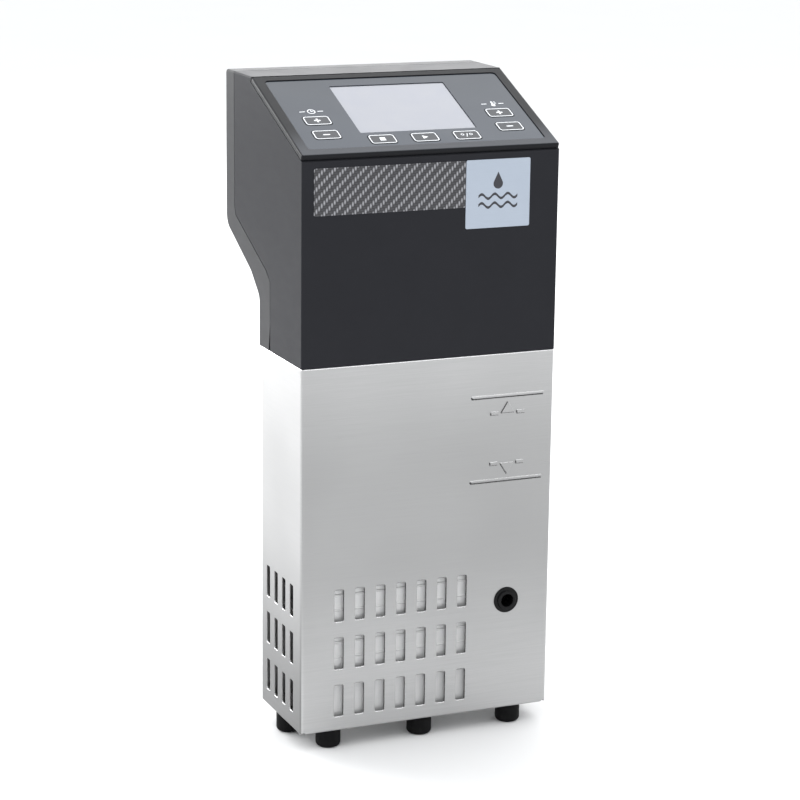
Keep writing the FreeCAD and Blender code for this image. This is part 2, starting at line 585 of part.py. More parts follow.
def panel_bezel():
    """Cap over the slope with a recess for the overlay and posts for the display board."""
    plate = rounded_box(-HALF_W, HALF_W, 0, SLOPE_LEN, -BEZEL_T, 0, "z", 1.2)
    plate = round_edges(plate, 1.1, lambda m, d: m.z > -0.01)
    skirt = box(-HALF_W + 1.5, HALF_W - 1.5, 1.5, SLOPE_LEN - 1.5, -BEZEL_T - REVEAL, -BEZEL_T)
    skirt = skirt.cut(box(-72, 72, 4.5, 83.5, -6, 0))
    posts = [cyl_z(x, s, 2.5, BOARD_TOP_N, -BEZEL_T) for x, s in BOARD_SCREWS]
    recess = rounded_box(-FILM_X - 0.2, FILM_X + 0.2, FILM_S[0] - 0.2, FILM_S[1] + 0.2, -RECESS, 2, "z", 2.5)
    window = rounded_box(-LCD_X - 0.8, LCD_X + 0.8, LCD_S[0] - 0.8, LCD_S[1] + 0.8, -8, 2, "z", 2)
    holes = [cyl_z(x, s, SCREW_HOLE_R, BOARD_TOP_N - 1, -BEZEL_T) for x, s in BOARD_SCREWS]
    return on_panel(cut(fuse([plate, skirt] + posts), [recess, window] + holes + key_openings(KEY_GAP)))


def overlay_film():
    film = rounded_box(-FILM_X, FILM_X, *FILM_S, -RECESS, OVERLAY_T - RECESS, "z", 2.3)
    window = rounded_box(-LCD_X - 0.1, LCD_X + 0.1, LCD_S[0] - 0.1, LCD_S[1] + 0.1, -8, 2, "z", 1)
    return on_panel(cut(film, [window] + key_openings(KEY_GAP)))


def lcd_window():
    """Clear pane set into the bezel, with a lip under its opening in the overlay."""
    pane = rounded_box(-LCD_X, LCD_X, LCD_S[0], LCD_S[1], -RECESS, OVERLAY_T - RECESS + 0.05, "z", 1)
    lip = rounded_box(-LCD_X - 0.7, LCD_X + 0.7, LCD_S[0] - 0.7, LCD_S[1] + 0.7, -BEZEL_T, -RECESS, "z", 1.9)
    return on_panel(fuse([pane, lip]))


def lcd_module():
    frame = box(-LCD_X - 3, LCD_X + 3, LCD_S[0] - 1.5, LCD_S[1] + 2.5, BOARD_TOP_N, -4.2)
    glass = box(-LCD_X, LCD_X, LCD_S[0], LCD_S[1], -4.4, -BEZEL_T - 0.1)
    return on_panel(fuse([frame, glass]))


def display_board():
    board = rounded_box(-72, 72, 7, 81, BOARD_TOP_N - BOARD_T, BOARD_TOP_N, "z", 2)
    holes = [cyl_z(x, s, SCREW_HOLE_R, BOARD_TOP_N - 2, BOARD_TOP_N + 1) for x, s in BOARD_SCREWS]
    return on_panel(cut(board, holes))


def display_screws():
    """Screws from under the display board into the bezel's posts."""
    seat = BOARD_TOP_N - BOARD_T
    screws = []
    for x, s in BOARD_SCREWS:
        solid = fuse([cyl_z(x, s, SCREW_HEAD_R, seat - 1.6, seat), cyl_z(x, s, SCREW_R, seat, seat + 8.0)])
        slot = box(x - 1.6, x + 1.6, s - 0.4, s + 0.4, seat - 2.4, seat - 1.0)
        screws.append(on_panel(cut(solid, [slot])))
    return Part.makeCompound(screws)


def tact_switches():
    switches = []
    for x, s in KEYS.values():
        body = box(x - 3, x + 3, s - 3, s + 3, BOARD_TOP_N, -8.6)
        switches.append(on_panel(fuse([body, cyl_z(x, s, 1.75, -9, -8.0)])))
    return Part.makeCompound(switches)


def key(x, s):
    """Key cap with a retaining flange under the bezel and a nib over its switch."""
    w, h = KEY_W / 2, KEY_H / 2
    cap = rounded_box(x - w, x + w, s - h, s + h, -3.4, KEY_TOP_N, "z", KEY_R)
    cap = round_edges(cap, 0.25, lambda m, d: m.z > KEY_TOP_N - 0.01)
    fw, fh = w + KEY_FLANGE, h + KEY_FLANGE
    flange = rounded_box(x - fw, x + fw, s - fh, s + fh, -4.3, -3.35, "z", KEY_R)
    nib = cyl_z(x, s, 1.6, -7.5, -4.2)
    return on_panel(fuse([cap, flange, nib]))


def front_label(x0, x1, z0, z1):
    return rounded_box(x0, x1, -LABEL_T, 0, z0, z1, "y", LABEL_R)


# ---------------------------------------------------------------- electronics, fan and cable gland
def power_board():
    board = box(-62, 62, BOARD_Y[0], BOARD_Y[1], 268, 356)
    return cut(board, [cyl_y(x, z, 1.7, 90, 96) for x in STANDOFF_X for z in STANDOFF_Z])


def board_standoffs():
    posts = []
    for x in STANDOFF_X:
        for z in STANDOFF_Z:
            post = hex_prism((x, BOARD_Y[1], z), "y", 6, HEAD_REAR_Y - WALL - BOARD_Y[1])
            pin = cyl_y(x, z, 1.65, BOARD_Y[0] - 2, BOARD_Y[1])
            posts.append(fuse([post, pin]))
    return Part.makeCompound(posts)


def transformer():
    """Laminated core with a taped winding and a foot that stands on the board."""
    y1 = BOARD_Y[0]
    core = [box(-52, -12, y1 - 26, y1 - 6, z, z + 7) for z in (276, 304)]
    limbs = [box(x, x + 6, y1 - 26, y1 - 6, 276, 311) for x in (-52, -18)]
    coil = rounded_box(-45.5, -18.5, y1 - 30, y1 - 2, 283.2, 303.8, "z", 5)
    foot = box(-50, -14, y1 - 6, y1, 280, 307)
    return fuse(core + limbs + [coil, foot])


def relay():
    y1 = BOARD_Y[0]
    return rounded_box(0, 19, y1 - 15.5, y1, 276, 291.5, "y", 0.8)


def capacitors():
    caps = []
    for x, z, r, length in ((30, 284, 7, 26), (47, 284, 7, 26), (8, 305, 5, 18), (20, 305, 5, 18)):
        top = BOARD_Y[0] - length
        can = cyl_y(x, z, r, top, BOARD_Y[0])
        caps.append(round_edges(can, 1.0, lambda m, d: m.y < top + 0.01))
    return Part.makeCompound(caps)


def heat_sink():
    y1 = BOARD_Y[0]
    fins = [box(34 + 4 * i, 35.4 + 4 * i, y1 - 22, y1 - 3, 302, 336) for i in range(6)]
    return fuse([box(34, 55.4, y1 - 3.2, y1, 302, 336)] + fins)


def terminal_block():
    y1 = BOARD_Y[0]
    block = box(-46, -6, y1 - 12, y1, 320, 331)
    tools = [cyl_y(-41 + 10 * i, 325.5, 2.6, y1 - 13, y1 - 5) for i in range(4)]
    tools += [cyl_z(-41 + 10 * i, y1 - 3.2, 1.6, 315, 324) for i in range(4)]
    return cut(block, tools)


def fan_frame():
    """Square frame with a round duct, four struts and a motor hub behind the blades."""
    half = FAN_SIZE / 2
    y0, y1 = FAN_Y
    frame = rounded_box(FAN_X - half, FAN_X + half, y0, y1, FAN_Z - half, FAN_Z + half, "y", 3)
    frame = frame.cut(cyl_y(FAN_X, FAN_Z, 18.6, y0 - 1, y1 + 1))
    hub = cyl_y(FAN_X, FAN_Z, 10.0, y1 - 1.6, y1)
    struts = [box(FAN_X - 19, FAN_X + 19, y1 - 1.6, y1, FAN_Z - 1, FAN_Z + 1),
              box(FAN_X - 1, FAN_X + 1, y1 - 1.6, y1, FAN_Z - 19, FAN_Z + 19)]
    holes = [cyl_y(FAN_X + x, FAN_Z + z, 1.7, y0 - 1, y1 + 1) for x in (-16, 16) for z in (-16, 16)]
    pin = cyl_y(FAN_X, FAN_Z, 1.5, y1 - 7.5, y1 - 1)
    return cut(fuse([frame, hub] + struts + [pin]), holes)


def fan_rotor():
    """Hub cup with seven pitched blades, turning on the frame's pin."""
    y0, y1 = FAN_Y[0] + 0.8, FAN_Y[1] - 2.2
    hub = round_edges(cyl_y(FAN_X, FAN_Z, 9.5, y0, y1), 1.0, lambda m, d: m.y < y0 + 0.01)
    blades = []
    for i in range(7):
        blade = box(-2.6, 2.6, -0.5, 0.5, 8.5, 17.6)
        blade.rotate(V(0, 0, 0), V(0, 0, 1), 38)
        blade.rotate(V(0, 0, 0), V(0, 1, 0), 360.0 * i / 7)
        blade.translate(V(FAN_X, (y0 + y1) / 2, FAN_Z))
        blades.append(blade)
    return cut(fuse([hub] + blades), [cyl_y(FAN_X, FAN_Z, 1.5 + RUN, FAN_Y[1] - 7.9, FAN_Y[1])])


def gland_body():
    y = HEAD_REAR_Y
    solid = fuse([cyl_y(GLAND_X, GLAND_Z, 8.0, y - 7.5, y + 4),
                  hex_prism((GLAND_X, y, GLAND_Z), "y", 21, 4.2)])
    return cut(solid, [cyl_y(GLAND_X, GLAND_Z, 5.2, y - 8, y + 2),
                       cyl_y(GLAND_X, GLAND_Z, SEAL_R[0], y + 2, y + 5)])


def gland_nut():
    """Domed cap nut that squeezes the seal."""
    y0, y1 = HEAD_REAR_Y + 4.2, GLAND_TIP_Y
    nut = round_edges(cyl_y(GLAND_X, GLAND_Z, 10.2, y0, y1), 3.5, lambda m, d: m.y > y1 - 0.01)
    flats = hex_prism((GLAND_X, y0, GLAND_Z), "y", 18.6, y1 - y0)
    nut = nut.common(fuse([flats, cyl_y(GLAND_X, GLAND_Z, 11, y1 - 5, y1)]))
    return cut(nut, [cyl_y(GLAND_X, GLAND_Z, SEAL_R[0], y0 - 1, y1 - SEAL_LIP),
                     cyl_y(GLAND_X, GLAND_Z, SEAL_R[1], y0, y1 + 1)])


def gland_seal():
    """Rubber sleeve that grips the cord and shows in the nut's mouth."""
    y0, y1 = HEAD_REAR_Y + 2, GLAND_TIP_Y
    sleeve = fuse([cyl_y(GLAND_X, GLAND_Z, SEAL_R[0], y0, y1 - SEAL_LIP),
                   cyl_y(GLAND_X, GLAND_Z, SEAL_R[1], y0, y1)])
    return cut(sleeve, [cyl_y(GLAND_X, GLAND_Z, GLAND_BORE_R, y0 - 1, y1 + 1)])


def gland_locknut():
    y1 = HEAD_REAR_Y - WALL
    nut = hex_prism((GLAND_X, y1 - 4, GLAND_Z), "y", 21, 4)
    return cut(nut, [cyl_y(GLAND_X, GLAND_Z, 8.0, y1 - 5, y1 + 1)])


# ---------------------------------------------------------------- pot clamp under the overhang
def clamp_bracket():
    """Bent strip: flange on the neck, arm over the pot rim and leg that carries the screw."""
    t, y0, y1 = BRACKET_T, NECK_REAR_Y, BRACKET_Y
    low, mid, top = BRACKET_Z
    strip = fuse([box(-24, 24, y0, y0 + t, mid, top), box(-24, 24, y0, y1, top - t, top),
                  box(-24, 24, y1 - t, y1, low, top)])
    strip = round_edges(strip, 2.6, lambda m, d: abs(m.y - y1) < 0.01 and abs(m.z - top) < 0.01)
    strip = round_edges(strip, 8.0, lambda m, d: abs(d.y) > 0.99 and m.z < low + 0.01)
    inner0, inner1, under = y0 + t, y1 - t, top - t
    webs = [prism_x([(inner0, under - 13), (inner0, under), (inner1, under), (inner1, under - 13),
                     (inner1 - 7, under - 5), (inner0 + 7, under - 5)], x, x + 2) for x in (-24, 22)]
    hole = cyl_y(0, CLAMP_Z, CLAMP_R + 0.4, y1 - 5, y1 + 2)
    return cut(fuse([strip] + webs), [hole] + screw_holes())


def clamp_nut():
    nut = hex_prism((0, BRACKET_Y, CLAMP_Z), "y", 13, 6.5)
    return cut(nut, [cyl_y(0, CLAMP_Z, CLAMP_R + RUN, BRACKET_Y - 1, BRACKET_Y + 8)])


def clamp_pad():
    pad = round_edges(cyl_y(0, CLAMP_Z, 13.0, PAD_Y, PAD_Y + 3.2), 1.0, lambda m, d: True)
    socket = cyl_y(0, CLAMP_Z, 7.0, PAD_Y + 3, PAD_Y + 10)
    return cut(fuse([pad, socket]), [cyl_y(0, CLAMP_Z, 3.0 + RUN, PAD_Y + 5, PAD_Y + 11)])


def clamp_screw():
    """M8 screw with cut thread and a plain tip that turns in the pad's socket."""
    start, end = PAD_Y + 10.3, KNOB_Y[0] + 9
    root = CLAMP_R - 0.6
    profile = [(0, PAD_Y + 5.3), (3.0, PAD_Y + 5.3), (3.0, start), (root, start)]
    y = start
    while y + CLAMP_PITCH < KNOB_Y[0]:
        profile += [(CLAMP_R, y + CLAMP_PITCH * 0.45), (CLAMP_R, y + CLAMP_PITCH * 0.55),
                    (root, y + CLAMP_PITCH)]
        y += CLAMP_PITCH
    profile += [(root, KNOB_Y[0]), (CLAMP_R, KNOB_Y[0]), (CLAMP_R, end), (0, end)]
    pts = [V(r, y, 0) for r, y in profile]
    solid = Part.Face(Part.makePolygon(pts + pts[:1])).revolve(V(0, 0, 0), V(0, 1, 0), 360)
    solid.translate(V(0, 0, CLAMP_Z))
    return solid


def clamp_knob():
    """Fluted hand knob on the end of the screw."""
    y0, y1 = KNOB_Y
    knob = round_edges(cyl_y(0, CLAMP_Z, KNOB_R, y0 + 3, y1), 2.0, lambda m, d: True)
    hub = cyl_y(0, CLAMP_Z, 8.0, y0, y0 + 4)
    flutes = []
    orbit = KNOB_R + 3.0
    for i in range(8):
        a = math.radians(45 * i + 22.5)
        flutes.append(cyl_y(orbit * math.cos(a), CLAMP_Z + orbit * math.sin(a), 5.0, y0 + 2, y1 + 1))
    return cut(fuse([knob, hub]), flutes + [cyl_y(0, CLAMP_Z, CLAMP_R, y0 - 1, y0 + 9)])


# ---------------------------------------------------------------- one file per piece
def save(name, shape):
    shape = shape.copy()
    shape.translate(V(0, -Y_CENTRE, FOOT_H))
    shape.exportStep("parts/%s.step" % name)


PIECES = {
    "steel_sleeve": steel_sleeve, "back_panel": back_panel, "base_plate": base_plate,
    "rubber_feet": rubber_feet, "m3_screws": m3_screws, "inner_baffle": inner_baffle,
    "heater_element": heater_element, "heater_fittings": heater_fittings, "heater_bracket": heater_bracket,
    "deck_plate": deck_plate, "deck_gasket": deck_gasket, "temperature_probe": temperature_probe,
    "float_stem": float_stem, "level_float": level_float, "pump_volute": pump_volute,
    "pump_cover": pump_cover, "pump_rods": pump_rods, "impeller": impeller, "outlet_nozzle": outlet_nozzle,
    "shaft_bush": shaft_bush, "motor_shaft": motor_shaft, "shaft_coupling": shaft_coupling,
    "motor_can": motor_can, "motor_bracket": motor_bracket, "front_housing": front_housing,
    "rear_cover": rear_cover, "panel_bezel": panel_bezel, "overlay_film": overlay_film,
    "lcd_window": lcd_window, "lcd_module": lcd_module, "display_board": display_board,
    "display_screws": display_screws, "tact_switches": tact_switches, "power_board": power_board,
    "board_standoffs": board_standoffs, "transformer": transformer, "relay": relay,
    "capacitors": capacitors, "heat_sink": heat_sink, "terminal_block": terminal_block,
    "fan_frame": fan_frame, "fan_rotor": fan_rotor, "gland_body": gland_body, "gland_nut": gland_nut,
    "gland_seal": gland_seal, "gland_locknut": gland_locknut, "clamp_bracket": clamp_bracket,
    "clamp_nut": clamp_nut, "clamp_pad": clamp_pad, "clamp_screw": clamp_screw, "clamp_knob": clamp_knob,
}

os.makedirs("parts", exist_ok=True)
for piece, build in PIECES.items():
    save(piece, build())
for name, (key_x, key_s) in KEYS.items():
    save(name, key(key_x, key_s))
save("carbon_label", front_label(*CARBON_LABEL))
save("pale_label", front_label(*PALE_LABEL))
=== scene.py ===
"""Looks of the sous vide circulator: materials, panel print, labels, studio and camera."""
import math

import bmesh
import bpy
from mathutils import Matrix, Vector


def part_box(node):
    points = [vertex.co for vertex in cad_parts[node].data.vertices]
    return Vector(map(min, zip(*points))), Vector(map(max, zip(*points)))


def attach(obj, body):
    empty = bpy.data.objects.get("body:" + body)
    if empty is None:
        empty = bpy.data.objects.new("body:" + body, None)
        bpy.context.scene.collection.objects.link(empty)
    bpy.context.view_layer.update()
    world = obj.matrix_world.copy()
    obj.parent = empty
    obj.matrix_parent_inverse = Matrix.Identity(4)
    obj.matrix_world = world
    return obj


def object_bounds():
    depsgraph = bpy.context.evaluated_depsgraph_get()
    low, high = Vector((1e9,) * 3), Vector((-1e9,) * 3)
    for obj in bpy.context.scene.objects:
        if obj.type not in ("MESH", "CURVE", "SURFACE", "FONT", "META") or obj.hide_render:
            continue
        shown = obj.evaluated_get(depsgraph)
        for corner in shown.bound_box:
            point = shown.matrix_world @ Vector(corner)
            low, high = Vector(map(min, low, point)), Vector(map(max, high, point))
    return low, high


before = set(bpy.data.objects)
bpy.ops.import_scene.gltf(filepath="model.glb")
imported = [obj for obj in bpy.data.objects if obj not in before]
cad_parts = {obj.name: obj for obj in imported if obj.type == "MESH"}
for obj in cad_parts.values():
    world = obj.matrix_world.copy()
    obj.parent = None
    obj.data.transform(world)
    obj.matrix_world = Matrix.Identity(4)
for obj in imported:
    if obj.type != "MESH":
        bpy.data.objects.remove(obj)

MM = 0.001
CAD_LO, CAD_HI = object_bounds()


# ---------------------------------------------------------------- axes of the sloped panel and of the front
def panel_axes():
    """Matrix from panel axes (right, up the slope, outwards; metres) to the frame's, centred on the film."""
    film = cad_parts["overlay_film"].data
    outward = max((face for face in film.polygons if face.normal.z > 0.5), key=lambda face: face.area).normal
    right = Vector((1, 0, 0))
    uphill = outward.cross(right)
    lo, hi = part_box("overlay_film")
    turn = Matrix((right, uphill, outward)).transposed().to_4x4()
    return Matrix.Translation((lo + hi) / 2) @ turn


PANEL = panel_axes()
UPHILL = PANEL.col[1].to_3d()


def panel_box(node):
    """Lowest and highest corner of a CAD node in panel axes."""
    inverse = PANEL.inverted()
    points = [inverse @ vertex.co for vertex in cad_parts[node].data.vertices]
    return (Vector(min(point[axis] for point in points) for axis in range(3)),
            Vector(max(point[axis] for point in points) for axis in range(3)))


FILM_LO, FILM_HI = panel_box("overlay_film")
PANEL_MIDDLE = UPHILL.dot(PANEL.translation) / MM
PANEL_REACH = (PANEL_MIDDLE + FILM_LO.y / MM, PANEL_MIDDLE + FILM_HI.y / MM)    # along UPHILL


def front_axes(node):
    """Matrix from front axes (right, up, outwards) to the frame's, centred on a label's front face."""
    lo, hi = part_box(node)
    turn = Matrix(((1, 0, 0), (0, 0, 1), (0, -1, 0))).transposed().to_4x4()
    return Matrix.Translation(((lo.x + hi.x) / 2, lo.y, (lo.z + hi.z) / 2)) @ turn


# ---------------------------------------------------------------- node materials
class Look:
    """One procedural material, with short calls for the nodes that it is made of."""

    def __init__(self, name):
        self.material = bpy.data.materials.new(name)
        self.material.use_nodes = True
        self.tree = self.material.node_tree
        self.tree.nodes.clear()
        self.output = self.node("ShaderNodeOutputMaterial")
        coordinates = self.node("ShaderNodeTexCoord").outputs["Object"]
        self.place = self.stretched(1 / MM, 1 / MM, 1 / MM, coordinates)    # in millimetres

    def node(self, kind, **settings):
        node = self.tree.nodes.new(kind)
        for key, value in settings.items():
            setattr(node, key, value)
        return node

    def feed(self, socket, value):
        """Link an output to a socket, or set the socket's own value."""
        if isinstance(value, bpy.types.NodeSocket):
            self.tree.links.new(value, socket)
        elif socket.type == "RGBA":
            socket.default_value = (*value, 1.0)
        else:
            socket.default_value = value

    def maths(self, operation, first, second=0.0, third=0.0):
        node = self.node("ShaderNodeMath", operation=operation)
        for socket, value in zip(node.inputs, (first, second, third)):
            self.feed(socket, value)
        return node.outputs[0]

    def choose(self, switch, first, second):
        """The first value where the switch is 1, the second where it is 0."""
        node = self.node("ShaderNodeMix", data_type="FLOAT")
        for index, value in ((0, switch), (2, second), (3, first)):
            self.feed(node.inputs[index], value)
        return node.outputs[0]

    def stretched(self, x, y, z, vector=None):
        node = self.node("ShaderNodeVectorMath", operation="MULTIPLY")
        self.feed(node.inputs[0], self.place if vector is None else vector)
        self.feed(node.inputs[1], (x, y, z))
        return node.outputs[0]

    def axes(self, vector=None):
        node = self.node("ShaderNodeSeparateXYZ")
        self.feed(node.inputs[0], self.place if vector is None else vector)
        return node.outputs

    def along(self, direction):
        """Distance in millimetres along a unit direction."""
        return self.dot(self.place, direction)

    def dot(self, first, second):
        node = self.node("ShaderNodeVectorMath", operation="DOT_PRODUCT")
        self.feed(node.inputs[0], first)
        self.feed(node.inputs[1], second)
        return node.outputs["Value"]

    def facing(self, direction):
        """1 where the surface faces a direction, -1 where it faces away."""
        return self.dot(self.node("ShaderNodeNewGeometry").outputs["Normal"], direction)

    def noise(self, scale, vector=None, detail=3.0, roughness=0.55, distortion=0.0):
        node = self.node("ShaderNodeTexNoise")
        self.feed(node.inputs["Vector"], self.place if vector is None else vector)
        for socket, value in (("Scale", scale), ("Detail", detail), ("Roughness", roughness),
                              ("Distortion", distortion)):
            self.feed(node.inputs[socket], value)
        return node.outputs["Fac"]

    def cells(self, scale, vector=None, feature="F1"):
        node = self.node("ShaderNodeTexVoronoi", feature=feature)
        self.feed(node.inputs["Vector"], self.place if vector is None else vector)
        self.feed(node.inputs["Scale"], scale)
        return node.outputs["Distance"]

    def between(self, value, low, high, out_low=0.0, out_high=1.0, smooth=False):
        node = self.node("ShaderNodeMapRange", interpolation_type="SMOOTHSTEP" if smooth else "LINEAR")
        for index, number in enumerate((value, low, high, out_low, out_high)):
            self.feed(node.inputs[index], number)
        return node.outputs[0]

    def blend(self, share, first, second):
        """Mix of two colours."""
        node = self.node("ShaderNodeMix", data_type="RGBA")
        for index, value in ((0, share), (6, first), (7, second)):
            self.feed(node.inputs[index], value)
        return node.outputs[2]

    def bump(self, height, depth, normal=None):
        """Normal of a relief, with its depth in millimetres."""
        node = self.node("ShaderNodeBump")
        self.feed(node.inputs["Distance"], depth * MM)
        self.feed(node.inputs["Height"], height)
        if normal is not None:
            self.feed(node.inputs["Normal"], normal)
        return node.outputs[0]

    def edges(self, radius):
        """Normal rounded over sharp edges, and how near an edge a point is, from 0 to 1."""
        rounded = self.node("ShaderNodeBevel", samples=4)
        self.feed(rounded.inputs["Radius"], radius * MM)
        return rounded.outputs[0], self.between(self.facing(rounded.outputs[0]), 0.995, 0.8)

    def surface(self, colour, roughness, metallic=0.0, normal=None, **finish):
        """Finish the material. The finish's names are the shader's, with _ for a space."""
        shader = self.node("ShaderNodeBsdfPrincipled")
        self.feed(shader.inputs["Base Color"], colour)
        self.feed(shader.inputs["Roughness"], roughness)
        self.feed(shader.inputs["Metallic"], metallic)
        if normal is not None:
            self.feed(shader.inputs["Normal"], normal)
        for key, value in finish.items():
            self.feed(shader.inputs[key.replace("_", " ")], value)
        return self.finished(shader)

    def finished(self, shader):
        self.feed(self.output.inputs["Surface"], shader.outputs[0])
        return self.material


def shaded(colour, factor):
    return tuple(min(1.0, channel * factor) for channel in colour)


SHEET_ROUND, HOUSING_ROUND = 0.4, 0.65    # radii of the rounding on sheet edges, millimetres
SHEET_T = 1.0                 # thickness of the steel housing
CORNER = 3 * SHEET_T          # how far its folded corners and its foot reach
SHADE_BELT_ABOVE = 13.5             # from the housing's middle up to the middle of its belt of painted shade
SHADE_BELT = (20.0, 110.0)          # distances from the middle of that painted shade between which it fades
SHADE_BELT_SHARE = (0.74, 0.3)      # how dark its painted shade is on the front and the back, and on the sides
SIDE_SHADE = (20.0, 140.0)         # heights between which the painted shade low on the sides fades
SIDE_SHADE_SHARE = 0.8             # how strong it is
SHADED_RIM_TURN = (-0.8, 0.0, -0.6)  # rims of the front slots that face left and down get painted shade
SHADED_RIM_LEAST, LIT_LIP_LEAST = 0.14, 0.25    # how far a normal has to turn to be on a shaded rim or on a lip with a painted highlight
MARK_LEAST = 0.02             # what stands further in front of the sheet is a raised level mark


def sheet_metal(name, colour, roughness=0.3, grain=(0.012, 0.012, 1.0), contrast=0.07, metallic=1.0,
                housing=False):
    """Brushed sheet: long fine scratches, cloudy sheen and a painted highlight on its cut edges. The
    housing also has painted shade and painted highlights of its own."""
    look = Look(name)
    fine = look.noise(2.6, look.stretched(*grain), detail=4.0, roughness=0.6)
    broad = look.noise(0.5, look.stretched(*grain), detail=2.0)
    cloud = look.noise(0.018, detail=2.0)
    lines = look.maths("MULTIPLY_ADD", broad, 0.25, fine)
    tone = look.between(lines, 0.35, 0.9)
    colours = look.blend(tone, shaded(colour, 1 - contrast), shaded(colour, 1 + contrast))
    haze_and_shade = look.between(look.noise(0.009, detail=1.0), 0.35, 0.65, 0.0, 0.17)
    normal, edge = look.edges(HOUSING_ROUND if housing else SHEET_ROUND)
    # painted highlight along sharp edges
    edge_highlight = look.maths("MULTIPLY", edge, 0.35)
    if housing:
        shade_belt, side_shade, shaded_rim, lit_lip = housing_painted_light(look, normal)
        # painted shade: the belt darkens the steel as a reflection of darker surroundings would
        haze_and_shade = look.maths("ADD", haze_and_shade, shade_belt)
        edge_highlight = look.maths("MULTIPLY", edge_highlight, look.maths("SUBTRACT", 1.0, shaded_rim))
    colours = look.blend(haze_and_shade, colours, shaded(colour, 0.62))
    colours = look.blend(edge_highlight, colours, shaded(colour, 1.35))
    if housing:
        # painted shade low on the sides, a painted highlight on lips that face up, painted shade on slot rims
        colours = look.blend(side_shade, colours, shaded(colour, 0.3))
        colours = look.blend(lit_lip, colours, shaded(colour, 2.0))
        colours = look.blend(shaded_rim, colours, shaded(colour, 0.03))
    gloss = look.between(lines, 0.35, 0.9, roughness - 0.1, roughness)
    sheen = look.maths("MULTIPLY_ADD", cloud, 0.12, gloss)
    tangent = look.node("ShaderNodeTangent", direction_type="RADIAL", axis="Z")
    return look.surface(colours, sheen, metallic, look.bump(fine, 0.0015, normal), Anisotropic=0.7,
                        Tangent=tangent.outputs[0])


def housing_painted_light(look, rounded):
    """How far a point of the housing lies in painted shade (its darker belt, low on a side, and on
    the rolled rim of a front slot) and in a painted highlight on a lip that faces up."""
    x, y, z = look.axes()
    low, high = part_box("steel_sleeve")
    shade_belt_middle = (low.z + high.z) / 2 / MM + SHADE_BELT_ABOVE
    off_shade_belt = look.maths("ABSOLUTE", look.maths("SUBTRACT", z, shade_belt_middle))
    side = look.maths("GREATER_THAN", look.maths("ABSOLUTE", look.facing((1, 0, 0))), 0.7)
    shade_belt = look.maths("MULTIPLY", look.between(off_shade_belt, *SHADE_BELT, 1.0, 0.0, smooth=True),
                      look.between(side, 0.0, 1.0, *SHADE_BELT_SHARE))
    side_shade = look.maths("MULTIPLY", side, look.between(z, *SIDE_SHADE, SIDE_SHADE_SHARE, 0.0, smooth=True))
    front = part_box("front_housing")[0].y / MM
    in_sheet = look.maths("LESS_THAN", y, front + SHEET_T)
    off_sides = look.maths("LESS_THAN", look.maths("ABSOLUTE", x), high.x / MM - CORNER)
    off_foot = look.maths("GREATER_THAN", z, low.z / MM + CORNER)
    on_slots = look.maths("MULTIPLY", in_sheet, look.maths("MULTIPLY", off_sides, off_foot))
    shaded_rim_turn = look.maths("GREATER_THAN", look.dot(rounded, SHADED_RIM_TURN), SHADED_RIM_LEAST)
    shaded_rim = look.maths("MULTIPLY", on_slots, shaded_rim_turn)
    off_marks = look.maths("GREATER_THAN", y, front - MARK_LEAST)
    upward = look.maths("GREATER_THAN", look.dot(rounded, (0, 0, 1)), LIT_LIP_LEAST)
    lit_lip = look.maths("MULTIPLY", look.maths("MULTIPLY", off_foot, off_marks), upward)
    return shade_belt, side_shade, shaded_rim, lit_lip


def turned_metal(name, colour, roughness=0.25, grain=(1.0, 1.0, 1.0), contrast=0.12):
    """Turned, drawn or plated metal: fine tool marks and dull spots."""
    look = Look(name)
    marks = look.noise(2.5, look.stretched(*grain), detail=4.0)
    spots = look.noise(0.35, detail=3.0)
    colours = look.blend(spots, shaded(colour, 1 - contrast), shaded(colour, 1 + contrast))
    dull = look.maths("MULTIPLY_ADD", spots, 0.2, look.between(marks, 0.3, 0.7, roughness - 0.08, roughness))
    return look.surface(colours, dull, 1.0, look.bump(marks, 0.004))


FOOT_REFLECTION_FADE = (-5.0, 25.0)     # distances up from the film's lower edge, for the painted reflection at the slope's foot


def moulded(name, colour, roughness=0.42, grain=1.6, relief=0.012, specular=0.3, wear_and_highlight=0.3, foot_reflection_colour=None):
    """Moulded plastic: eroded grain, faint mottling, scuffed patches, and edges made paler both by wear and
    by a painted highlight.
    What is parallel to the sloped panel can fade to a paler painted reflection at the foot of the slope."""
    look = Look(name)
    grains = look.noise(grain, detail=4.0, roughness=0.7)
    mottle = look.noise(0.05, detail=3.0)
    scuffs = look.noise(0.12, look.stretched(0.5, 0.5, 1.4), detail=4.0, distortion=0.6)
    colours = look.blend(mottle, shaded(colour, 0.94), shaded(colour, 1.06))
    # painted reflection: what faces like the sloped panel grows paler towards the slope's foot
    if foot_reflection_colour is not None:
        sloped = look.maths("GREATER_THAN", look.facing(PANEL.col[2].to_3d()), 0.9)
        full, gone = (PANEL_REACH[0] + distance for distance in FOOT_REFLECTION_FADE)
        foot_reflection = look.between(look.along(UPHILL), full, gone, 1.0, 0.0, smooth=True)
        colours = look.blend(look.maths("MULTIPLY", sloped, foot_reflection), colours, foot_reflection_colour)
    sheen = look.maths("ADD", look.between(scuffs, 0.35, 0.65, roughness - 0.015, roughness + 0.015),
                       look.between(grains, 0.3, 0.7, -0.02, 0.02))
    normal, edge = look.edges(0.5)
    # paler edges: partly wear, partly a painted highlight
    worn_and_lit_edges = tuple(channel + 0.06 * wear_and_highlight for channel in shaded(colour, 1 + wear_and_highlight))
    colours = look.blend(look.maths("MULTIPLY", edge, 0.7), colours, worn_and_lit_edges)
    return look.surface(colours, sheen, normal=look.bump(grains, relief, normal), Specular_IOR_Level=specular)


